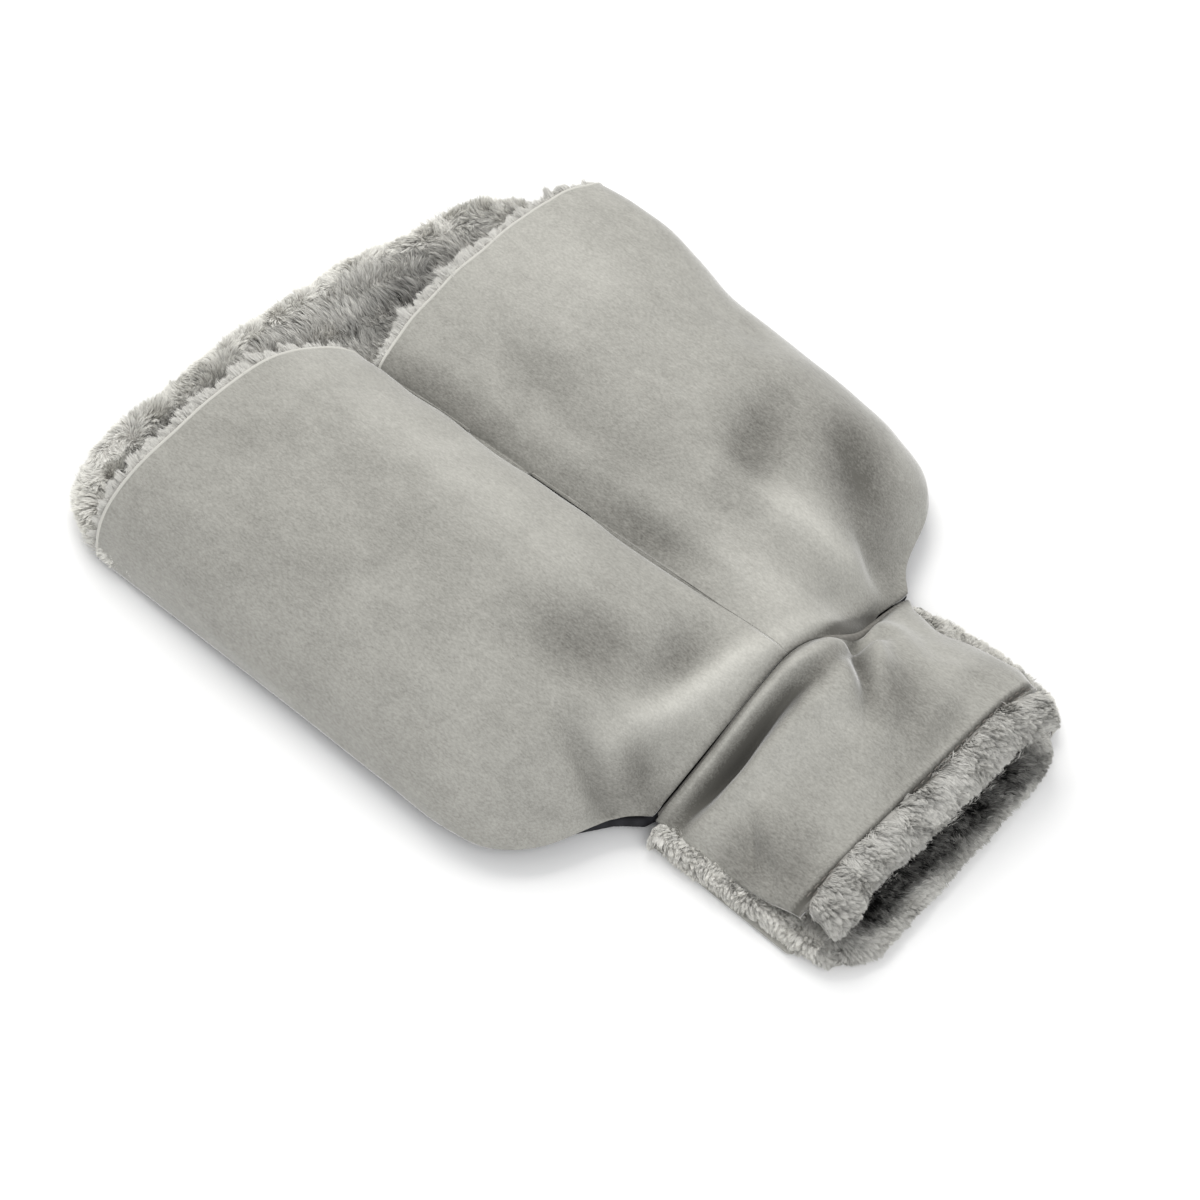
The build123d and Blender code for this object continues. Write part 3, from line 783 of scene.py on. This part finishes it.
def rim_grid(rows=150, columns=34):
    """The cuff's thick rim: an oval roll carried along the cuff's curve, closing at both ends. Gives its surface and
    the way out from its middle."""
    share = np.linspace(-1, 1, rows)
    x = 65.0 * np.sin(share * math.pi / 2) - 3.5
    close = np.sqrt(np.clip(1 - np.abs(share) ** 8, 1e-4, 1))
    droop = 4.5 * ease(38, 62, np.abs(x))
    centre = surface(x, RIM_Y - 1.3 * np.cos((x - 10) / 22) - droop, curve_through(CUFF_X, CUFF_Z, x) - 3.2)
    turn = np.linspace(0, 2 * math.pi, columns)[None, :]
    fat = (1 + 0.07 * ripple(centre, 30, 91))[:, None]
    tangent = unit(np.gradient(centre, axis=0))
    along = unit(np.array([0, -1.0, -0.45]) * np.ones((rows, 1)))
    up = unit(np.cross(tangent, -along))
    up *= np.sign(up[:, 2:3])
    cos, sin = (fat * np.cos(turn))[..., None], (fat * np.sin(turn))[..., None]
    oval = cos * (RIM_WIDE + 0.3 * droop[:, None, None]) * along[:, None] + sin * RIM_THICK * up[:, None]
    roll = centre[:, None] + close[:, None, None] * oval
    ends = (np.sign(share) * np.abs(share) ** 6)[:, None, None] * 1.2
    away = unit(cos / RIM_HAIR_WIDE * along[:, None] + sin / RIM_THICK * up[:, None])
    return roll, unit(away + tangent[:, None] * ends)


def lip_cut(x):
    """How far the lip's corners are cut back: nothing in the middle, rising towards both ends."""
    return 11.0 * np.clip((-x - 55) / 20, 0, 1) ** 1.4 + 7.0 * np.clip((x - 48) / 15, 0, 1) ** 1.5


# The cuff's lip: its middle's y and height, its half width and half thickness
LIP_Y, LIP_Z, LIP_WIDE, LIP_THICK = -182.0, 3.7, 8.5, 2.9


def lip_grid(rows=130, columns=50):
    """The cuff's lip: a flat rounded slab, |y|^n + |z|^n = 1 round its middle, narrowing at both ends, its top a little
    hollow between them. Gives its surface and the way out from its middle."""
    share = np.linspace(-1, 1, rows)[:, None]
    turn = np.linspace(0, 2 * math.pi, columns)[None, :]
    x = 69.0 * np.sin(share * math.pi / 2) - 6.0
    close = np.clip(1 - np.abs(share) ** 9, 1e-4, 1) ** 0.5
    cos, sin = np.cos(turn), np.sin(turn)
    y = LIP_Y + 0.035 * x - (LIP_WIDE - 0.03 * x) * close * np.sign(cos) * np.abs(cos) ** 0.7
    y = y + lip_cut(x) * np.where(cos > 0, 1.0, 0.2)
    z = LIP_Z + LIP_THICK * close * np.sign(sin) * np.abs(sin) ** 0.75
    z = z + np.where(sin > 0, 1, 0) * (2.4 * share ** 4 - 1.0)
    return surface(x, y, np.maximum(z, 0.5)), unit(surface(np.sign(share) * np.abs(share) ** 8, -cos, sin * 1.6))


# ---- Property groups ----
def length_property(name, default, description):
    """A length in millimetres."""
    return bpy.props.FloatProperty(name=name, default=default, min=0.01, description=description)


def colour_property(name, default, description):
    """A colour in linear light."""
    return bpy.props.FloatVectorProperty(
        name=name, default=default, size=3, min=0, max=1, subtype="COLOR", description=description)


class MuffSizes(bpy.types.PropertyGroup):
    """Cloth thicknesses and hair lengths, in millimetres."""

    cloth: length_property("Cloth", 1.6, "Thickness of the velour, in mm")
    back_hair: length_property("Back hair", 5.5, "Length of the back panel's fur, in mm")
    lining_hair: length_property("Lining hair", 6.0, "Length of the pocket lining's fur, in mm")
    cuff_hair: length_property("Cuff hair", 4.3, "Length of the cuff's fur, in mm")
    neck_hair: length_property("Neck hair", 3.4, "Length of the fur at the neck's sides, in mm")
    hair_width: length_property("Hair width", 0.4, "Width of one lock of hair at its root, in mm")
    hair_count: bpy.props.IntProperty(name="Hairs", default=54000, min=100, description="Locks of hair on a fur piece")


class MuffColours(bpy.types.PropertyGroup):
    """Colours of the finishes, in linear light."""

    # The velour's light and dark colours are the two ends of its mix, which carries the nap and also painted highlights
    # and painted shade at the folds.
    velour_light: colour_property("Velour light", (0.56, 0.552, 0.51), "Velour brushed towards the light")
    velour_dark: colour_property("Velour dark", (0.12, 0.116, 0.104), "Velour brushed away from the light")
    fur_tip: colour_property("Fur tip", (0.93, 0.92, 0.875), "Tips of the fur")
    # The root colour is darker as painted shade deep in the pile.
    fur_root: colour_property("Fur root", (0.5, 0.485, 0.455), "Roots of the fur")
    backing: colour_property("Backing", (0.012, 0.012, 0.014), "Woven back of the cover")
    rubber: colour_property("Rubber", (0.28, 0.05, 0.045), "The bottle")


class MuffStage(bpy.types.PropertyGroup):
    """The camera and the light."""

    azimuth: bpy.props.FloatProperty(
        name="Azimuth", default=math.radians(-46.1), subtype="ANGLE", description="Camera's turn about +Z from -Y")
    elevation: bpy.props.FloatProperty(
        name="Elevation", default=math.radians(52.1), subtype="ANGLE", description="Camera's angle above the table")
    distance: bpy.props.FloatProperty(name="Distance", default=1.217, unit="LENGTH", description="Camera to the muff")
    lens: bpy.props.FloatProperty(name="Lens", default=90.0, description="Focal length, in mm on a 36 mm sensor")
    sky: bpy.props.FloatProperty(name="Sky", default=0.62, min=0, description="Strength of the white surroundings")
    key: bpy.props.FloatProperty(name="Key", default=13.5, min=0, description="Power of the large soft light, in watts")


GROUPS = {"muff_sizes": MuffSizes, "muff_colours": MuffColours, "muff_stage": MuffStage}


def sizes():
    return bpy.context.scene.muff_sizes


def colours():
    return bpy.context.scene.muff_colours


# Lighter and darker copies of the one fur, one for each kind of piece, set to how lit or shaded that piece looks:
# painted light and shade, darker for the pocket linings and the cuff, lighter for the far edge's roll.
FUR_LIT_AND_SHADED = {"back_fur": 0.97, "edge_fur": 1.08, "lining_fur": 0.8, "neck_fur": 1.0, "cuff_fur": 0.74}


def velour_material():
    return new_material("brushed_velour", velour, opaque(colours().velour_dark), opaque(colours().velour_light))


def fur_material(name):
    """The fur's colours, made lighter or darker for one kind of piece as painted light and shade."""
    light = FUR_LIT_AND_SHADED[name]
    return new_material(name, fur, opaque(colours().fur_root, light), opaque(colours().fur_tip, light))


class PieceOperator(bpy.types.Operator):
    """Base of the operators that make pieces."""

    bl_options = {"REGISTER", "UNDO"}


class MUFF_OT_pockets(PieceOperator):
    """Makes the two velour pocket panels and the folded edge of each mouth"""

    bl_idname = "muff.pockets"
    bl_label = "Pockets"

    def execute(self, context):
        for side, word in ((LEFT, "left"), (RIGHT, "right")):
            grid = pocket_grid(side)
            panel = make_piece(
                f"{word}_pocket_velour", [grid_patch(grid, nap=nap_and_shade_of(grid))], velour_material(),
                [f"{word}_pocket_panel"])
            solidify(panel, sizes().cloth)
            edge = grid[0] - normals_of(grid)[0] * sizes().cloth * 0.25 + np.array([0, 0.2, 0])
            # The mouth's rolled edge is set lighter than the velour around it: a painted highlight along the fold.
            piping = tube_patch(edge, 0.85, 12, nap=1.1)
            make_piece(f"{word}_mouth_fold", [piping], velour_material(), [f"{word}_mouth_edging"])
        return {"FINISHED"}


def lining_patches(side, seed):
    """A pocket's inside: its own smaller arch with short hairs, and longer ones round the mouth that stand out past
    its edge."""
    size = sizes()
    grid = pocket_grid(side, rows=90, columns=80, inset=POCKET_LINING_GAP)[:60]
    outward = normals_of(grid)
    from_side = np.arange(grid.shape[1])[::1 if side == RIGHT else -1]
    near_mouth = np.exp(-np.arange(len(grid)) / 12.0)[:, None]
    roots, normals = scatter(grid, size.hair_count // 3, seed, (0.1 + near_mouth) * ease(1, 6, from_side), -outward)
    coat = hairs(
        roots, normals, np.array([0, 0.6, 0]), size.lining_hair * 0.7, size.hair_width, seed + 1, lift=0.9, droop=0.3)
    roots, normals = scatter(
        grid[:4], size.hair_count // 3, seed + 2, ease(1, 6, from_side) * np.ones((4, 1)), outward[:4])
    lean = surface(ripple(roots, 6, seed + 3) * 0.45, 0.0, ripple(roots, 7, seed + 5) * 0.25)
    reach = 1.0 + 0.3 * ripple(roots, 5, seed + 6)[:, None]
    fringe = hairs(
        roots, normals, np.array([0, 1.2, 0.05]) + lean, size.lining_hair * 1.3 * reach, size.hair_width, seed + 4,
        lift=0.2, droop=0.15, tone=0.2 + 0.12 * ripple(roots, 3, seed + 7), messy=0.24)
    return [grid_patch(grid, flip=True, tip=0.25, tone=0.5), coat, fringe]


class MUFF_OT_linings(PieceOperator):
    """Makes the fur lining of each pocket and the fur wall between them"""

    bl_idname = "muff.linings"
    bl_label = "Pocket linings"

    def execute(self, context):
        material = fur_material("lining_fur")
        for side, word in ((LEFT, "left"), (RIGHT, "right")):
            patches = lining_patches(side, 40 + 10 * side)
            make_piece(f"{word}_lining", patches, material, [f"{word}_pocket_lining"])
        low, high = 17, 26 + 8 * np.linspace(0, 1, 60)[:, None]
        turn = np.linspace(0, 1, 24)[None, :] * math.pi * 2
        y = np.linspace(132, -40, 60)[:, None]
        wall = surface(2.4 * np.sin(turn), y, low + (high - low) * (0.5 - 0.5 * np.cos(turn)))
        make_piece("pocket_wall", [closed_patch(wall, tip=0.3, tone=0.45)], material, ["pocket_divider"])
        return {"FINISHED"}


class MUFF_OT_back(PieceOperator):
    """Makes the dark backing, the fur panel under the hands and the fur round the far edge"""

    bl_idname = "muff.back"
    bl_label = "Back"

    def execute(self, context):
        size = sizes()
        material = fur_material("back_fur")
        grid = floor_grid()
        visible = ease(60, 135, grid[..., 1]) * 0.94 + 0.06
        roots, normals = scatter(grid, size.hair_count, 61, visible, -normals_of(grid))
        normals *= np.sign(normals[:, 2:3])
        flow = np.array([-0.15, 0.35, 0]) + swirl(roots, 22, 62, level=True) * 0.4
        x, y = roots[:, 0], roots[:, 1]
        # Painted shadow on the floor fur just inside both pocket mouths, behind the linings' fringe, with a little
        # random tone and the whole floor a little darker.
        mouth_shadow_and_tone = -0.6 * bell(x, y, 48, 160, 172, 26, 10) - 0.5 * bell(x, y, -88, 174, 0, 34, 8)
        mouth_shadow_and_tone = mouth_shadow_and_tone - 0.12 * ripple(roots, 16, 65) - 0.08
        coat = hairs(
            roots, normals, flow, size.back_hair, size.hair_width, 64, lift=0.9, droop=0.5, tone=mouth_shadow_and_tone, lock=1.6)
        base = grid_patch(grid, flip=True, tip=0.2, tone=0.45)
        make_piece("hand_floor", [base, coat], material, ["hand_floor_fur"])

        roll, away = edge_roll()
        roots, normals = scatter(roll, size.hair_count, 72, ease(-0.75, -0.2, away[..., 2]), away)
        flow = swirl(roots, 18, 73) * 0.45 + np.array([0, 0.1, -0.15])
        coat = hairs(
            roots, normals, flow, size.back_hair * 0.85, size.hair_width, 76, lift=0.9, droop=0.5, tone=0.1, lock=1.6)
        base = closed_patch(roll, flip=True, tip=0.2, tone=0.45)
        edge = make_piece("far_edge_fur", [base, coat], fur_material("edge_fur"), ["back_edge_roll"])

        self.backing()
        return {"FINISHED"}

    def backing(self):
        """The backing: its outline shrinks to nothing under the middle, so the bottom and the brim are one surface."""
        outline = backing_outline(np.linspace(0, 2 * math.pi, 240, endpoint=False))
        grid = np.stack([
            surface(outline[:, 0] * scale, outline[:, 1] * scale + 40 * (1 - scale), z) for scale, z in BACKING_LEVELS])
        material = new_material("dark_backing", woven, opaque(colours().backing), (0.03, 0.03, 0.034, 1), 0.8)
        base = grid_patch(grid, wrap=True, flip=True, poles=(0,))
        shell = make_piece("dark_backing", [base], material, ["back_cover", "perimeter_seam"])
        solidify(shell, 0.8)


# The backing from its middle out: share of the outline, and height
BACKING_LEVELS = (
    (0.0, 0.4), (0.3, 0.2), (0.6, 0.15), (0.85, 0.1), (0.955, 0.25), (0.985, 1.6), (1.0, 5.0), (0.998, 8.2),
    (0.988, 9.0),
)


def backing_outline(turn):
    """The backing seen from above, as one loop: straight sides, round shoulders, and in to the waist."""
    corner = np.linspace(0, math.pi / 2, 12)
    far = np.column_stack([91 + 31 * np.cos(corner), 150 + 32 * np.sin(corner)])
    shoulder = np.linspace(0, math.radians(60), 12)
    near = np.column_stack([99 + 29 * np.cos(shoulder), -43 - 29 * np.sin(shoulder)])
    waist = [(84, -87), (77, -95), (70, -97), (0, -97)]
    half = np.concatenate([[(0, 182)], far[::-1], [(130, 100), (130, 0)], near, waist])
    loop = np.concatenate([half, half[::-1][1:] * [-1, 1]])
    step = np.concatenate([[0], np.cumsum(np.linalg.norm(np.diff(loop, axis=0), axis=1))])
    at = turn / (2 * math.pi) * step[-1]
    return np.stack([np.interp(at, step, loop[:, 0]), np.interp(at, step, loop[:, 1])], axis=-1)


# Hairs on the neck's inside, where only the strip at the mouth is seen
INSIDE_HAIRS = 5000
# The neck's back panel: y along it, and the share of its full section there
NECK_BACK_Y = (-99.0, -99.05, -99.6, -101, -120, -145, -170, -171.6, -171.95, -172)
NECK_BACK_SHARE = (0.5, 0.9, 0.985, 1, 1, 1, 1, 0.985, 0.9, 0.5)


class MUFF_OT_neck(PieceOperator):
    """Makes the neck: velour front and back, and the fur inside that shows at both sides"""

    bl_idname = "muff.neck"
    bl_label = "Neck"

    def execute(self, context):
        size = sizes()
        grid = neck_grid()
        front = make_piece(
            "neck_velour", [grid_patch(grid, flip=True, nap=nap_and_shade_of(grid))], velour_material(),
            ["neck_front_panel"])
        solidify(front, size.cloth)
        inside = neck_grid(50, 70, inset=NECK_LINING_GAP)
        material = fur_material("neck_fur")
        roots, normals = scatter(inside, INSIDE_HAIRS, 81, ease(-156, -162, inside[..., 1]), normals_of(inside))
        normals *= -np.sign(normals[:, 2:3])
        coat = hairs(roots, normals, np.array([0, -0.4, 0]), 3.0, size.hair_width, 82, lift=0.8, droop=0.4)
        base = grid_patch(inside, tip=0.25, tone=0.45)
        make_piece("neck_inside_fur", [base, coat], material, ["neck_front_lining"])

        trough, up = trough_grid()
        where = ease(62, 72, np.abs(trough[..., 0])) + 0.05
        roots, normals = scatter(trough, size.hair_count, 84, where, up)
        flow = np.sign(roots[:, :1]) * np.array([0.5, 0, 0]) + swirl(roots, 12, 85, level=True) * 0.35
        flow = flow + np.array([0, -0.25, 0])
        coat = hairs(roots, normals, flow, size.neck_hair, size.hair_width * 0.85, 87, lift=0.7, droop=0.5)
        base = grid_patch(trough, flip=True, tip=0.3, tone=0.5)
        make_piece("neck_side_fur", [base, coat], material, ["neck_back_lining"])

        turn = np.linspace(0, 2 * math.pi, 48, endpoint=False)[None, :]
        cos, sin = np.cos(turn), np.sin(turn)
        share = np.array(NECK_BACK_SHARE)[:, None]
        back = surface(
            79.5 * share * np.sign(cos) * np.abs(cos) ** 0.35,
            np.array(NECK_BACK_Y)[:, None],
            1.25 + 1.15 * share * np.sign(sin) * np.abs(sin) ** 0.6,
        )
        make_piece(
            "neck_back_velour", [grid_patch(back, wrap=True, poles=(0, -1), nap=0.45)], velour_material(),
            ["neck_back_panel"])
        return {"FINISHED"}


# Each line of stitches: its y and its first stitch's x
STITCH_LINES = ((-166.3, -66.0), (-167.9, -64.5))
STITCH_STEP, STITCH_LENGTH, STITCH_RADIUS, STITCHES_END = 4.0, 2.9, 0.28, 60
STITCH_TAPER = (0.2, 0.9, 1, 1, 1, 0.9, 0.2)


class MUFF_OT_cuff(PieceOperator):
    """Makes the cuff: the thick fur rim, the fur lip under it and the stitching between rim and neck"""

    bl_idname = "muff.cuff"
    bl_label = "Cuff"

    def execute(self, context):
        size = sizes()
        material = fur_material("cuff_fur")
        roll, away = rim_grid()
        turn = np.linspace(0, 2 * math.pi, roll.shape[1])[None, :]
        weight = ease(-0.9, 0.1, np.sin(turn)) * ease(-1.2, -0.3, np.cos(turn)) + 0.05
        roots, normals = scatter(roll, size.hair_count, 92, weight * np.ones((len(roll), 1)), away)
        flow = np.array([0, -0.75, 0.05]) + swirl(roots, 13, 93) * 0.3
        coat = hairs(
            roots, normals, flow, size.cuff_hair, size.hair_width * 1.1, 96, lift=0.7, droop=0.6,
            tone=0.15 * ripple(roots, 5, 102) + 0.05)
        base = closed_patch(roll, flip=True, tip=0.15, tone=0.4)
        rim = make_piece("cuff_rim", [base, coat], material, ["cuff_rim_front"])

        lip, away = lip_grid()
        roots, normals = scatter(lip, size.hair_count, 97, ease(-0.8, -0.1, away[..., 2]) + 0.02, away)
        x, y = roots[:, 0], roots[:, 1]
        sideways = surface(np.sign(x) * ease(60, 80, np.abs(x)) * 0.4, 0.0, 0.0)
        flow = np.array([0, -0.8, 0]) + swirl(roots, 15, 98) * 0.35 + sideways
        # Painted shade on the top of the lip just under the rim's overhang, running down to black.
        shade_under_rim = ease(-190.5, -182.5, y) * ease(66, 44, np.abs(x + 6)) * (normals[:, 2] > 0)
        coat = hairs(
            roots, normals, flow, size.cuff_hair * 0.75, size.hair_width, 101, lift=0.45, droop=0.5,
            tone=0.08 - 1.05 * shade_under_rim)
        base = closed_patch(lip, flip=True, tip=0.3, tone=0.5)
        make_piece("cuff_lip", [base, coat], material, ["cuff_lip_back"])
        self.stitching()
        return {"FINISHED"}

    def stitching(self):
        """Two lines of thread in the groove between neck and rim: short arcs, one for each stitch."""
        radius = STITCH_RADIUS * np.array(STITCH_TAPER)
        run = np.linspace(0, 1, len(radius))
        stitches = []
        for y, first in STITCH_LINES:
            for start in np.arange(first, STITCHES_END, STITCH_STEP):
                x = start + STITCH_LENGTH * run
                z = neck_height(x, np.full_like(x, y)) + 0.35 * np.sin(run * math.pi) - 0.95
                stitches.append(tube_patch(surface(x, y, z), radius, 6))
        thread = new_material("thread", woven, (0.12, 0.11, 0.1, 1), (0.22, 0.2, 0.18, 1), 0.3)
        make_piece("cuff_stitching", stitches, thread)


class MUFF_OT_seams(PieceOperator):
    """Makes the tapes sewn under the centre seam and under the waist seam"""

    bl_idname = "muff.seams"
    bl_label = "Seams"

    def execute(self, context):
        material = new_material("seam_tape", woven, (0.16, 0.153, 0.14, 1), (0.26, 0.25, 0.23, 1), 0.4)
        left, right = pocket_grid(LEFT), pocket_grid(RIGHT)
        middle = (left[2:-1, 0] + right[2:-1, -1]) / 2
        line = surface(0.0, middle[:, 1], middle[:, 2] - 1.6)
        make_piece(
            "centre_seam_tape", [tube_patch(line, 1.3, 10, nap=0.25)], velour_material(), ["centre_seam"])
        x = np.linspace(-72, 72, 120)
        y = waist_y(x)
        line = surface(x, y, neck_height(x, np.maximum(y, -103)) - 4.6)
        make_piece("waist_seam_thread", [tube_patch(line, 1.7, 10)], material, ["waist_seam_tape"])
        return {"FINISHED"}


class MUFF_OT_bottle(PieceOperator):
    """Finishes the bottle, its insert, stopper and washer, which keep their model shapes"""

    bl_idname = "muff.bottle"
    bl_label = "Bottle"

    def execute(self, context):
        rubber = colours().rubber
        finishes = {
            "bottle_bag": new_material("bottle_rubber", ribbed_rubber, opaque(rubber), opaque(rubber, 0.7)),
            "bottle_insert": new_material("insert_brass", brass),
            "stopper_washer": new_material(
                "washer_rubber", moulded, (0.02, 0.02, 0.02, 1), (0.035, 0.035, 0.035, 1), 0.5, 0.6),
            "stopper": new_material(
                "stopper_plastic", moulded, (0.03, 0.03, 0.033, 1), (0.05, 0.05, 0.053, 1), 0.35, 0.4),
        }
        for node, material in finishes.items():
            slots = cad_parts[node].material_slots
            for slot in slots:
                slot.material = material
            if not slots:
                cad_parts[node].data.materials.append(material)
        return {"FINISHED"}


# The stage, in metres: the floor's half width and height, and what the lights and the camera point at
STAGE_REACH, STAGE_Z = 4.0, -0.0006
LIGHT_AIM = (0, 0, 0.02)
CAMERA_AIM = (-0.007, -0.004, 0.0)
# Each light's name, place, width, share of the key's power, and tint
LIGHTS = (
    ("key", (0.45, 0.75, 1.1), 1.1, 1.0, (1.0, 0.99, 0.965)),
    ("fill", (-0.55, -1.0, 1.0), 1.2, 0.75, (0.98, 0.99, 1.0)),
)


class MUFF_OT_stage(bpy.types.Operator):
    """Makes the pale floor, the soft light and the camera"""

    bl_idname = "muff.stage"
    bl_label = "Stage"

    def execute(self, context):
        scene = context.scene
        stage = scene.muff_stage
        mesh = bpy.data.meshes.new("floor")
        corners = [(x * STAGE_REACH, y * STAGE_REACH, STAGE_Z) for x, y in ((-1, -1), (1, -1), (1, 1), (-1, 1))]
        mesh.from_pydata(corners, [], [(0, 1, 2, 3)])
        floor = bpy.data.objects.new("floor", mesh)
        scene.collection.objects.link(floor)
        pale = bpy.data.materials.new("pale_floor")
        pale.use_nodes = True
        Nodes(pale).finish(base_color=(0.93, 0.93, 0.93, 1), roughness=0.95, specular_ior_level=0.0)
        mesh.materials.append(pale)

        world = bpy.data.worlds.new("soft_surroundings")
        scene.world = world
        world.use_nodes = True
        background = world.node_tree.nodes["Background"]
        background.inputs["Color"].default_value = (1, 1, 1, 1)
        background.inputs["Strength"].default_value = stage.sky

        for name, place, width, share, tint in LIGHTS:
            lamp = bpy.data.lights.new(name, "AREA")
            lamp.size = width
            lamp.energy = stage.key * share
            lamp.color = tint
            light = bpy.data.objects.new(name, lamp)
            scene.collection.objects.link(light)
            light.location = place
            aim_at(light, LIGHT_AIM)

        lens = bpy.data.cameras.new("view")
        lens.lens = stage.lens
        lens.sensor_width = 36
        lens.clip_end = 20
        camera = bpy.data.objects.new("view", lens)
        scene.collection.objects.link(camera)
        a, e = stage.azimuth, stage.elevation
        back = np.array([math.sin(a) * math.cos(e), -math.cos(a) * math.cos(e), math.sin(e)])
        camera.location = np.array(CAMERA_AIM) + back * stage.distance
        aim_at(camera, CAMERA_AIM)
        scene.camera = camera
        scene.view_settings.view_transform = "Standard"
        scene.view_settings.look = "None"
        return {"FINISHED"}


def aim_at(thing, target):
    """Turns a camera or light so that its -Z points at the target, with +Y up."""
    way = thing.location - Vector(target)
    thing.rotation_euler = way.to_track_quat("Z", "Y").to_euler()


class MUFF_PT_panel(bpy.types.Panel):
    """The muff's settings and its operators"""

    bl_label = "Hand warmer muff"
    bl_idname = "MUFF_PT_panel"
    bl_space_type = "VIEW_3D"
    bl_region_type = "UI"
    bl_category = "Muff"

    def draw(self, context):
        for name, group in GROUPS.items():
            box = self.layout.box()
            for key in group.__annotations__:
                box.prop(getattr(context.scene, name), key)
        for operator in STEPS:
            self.layout.operator(operator.bl_idname)


STEPS = (
    MUFF_OT_stage, MUFF_OT_back, MUFF_OT_linings, MUFF_OT_pockets, MUFF_OT_neck, MUFF_OT_cuff, MUFF_OT_seams,
    MUFF_OT_bottle,
)


def register():
    for group in GROUPS.values():
        bpy.utils.register_class(group)
    for name, group in GROUPS.items():
        setattr(bpy.types.Scene, name, bpy.props.PointerProperty(type=group))
    for operator in STEPS:
        bpy.utils.register_class(operator)
    bpy.utils.register_class(MUFF_PT_panel)


def unregister():
    bpy.utils.unregister_class(MUFF_PT_panel)
    for operator in reversed(STEPS):
        bpy.utils.unregister_class(operator)
    for name in GROUPS:
        delattr(bpy.types.Scene, name)
    for group in reversed(list(GROUPS.values())):
        bpy.utils.unregister_class(group)


def main():
    """Makes the stage and every piece in order."""
    register()
    for operator in STEPS:
        group, name = operator.bl_idname.split(".")
        getattr(getattr(bpy.ops, group), name)()


if __name__ == "__main__":
    main()
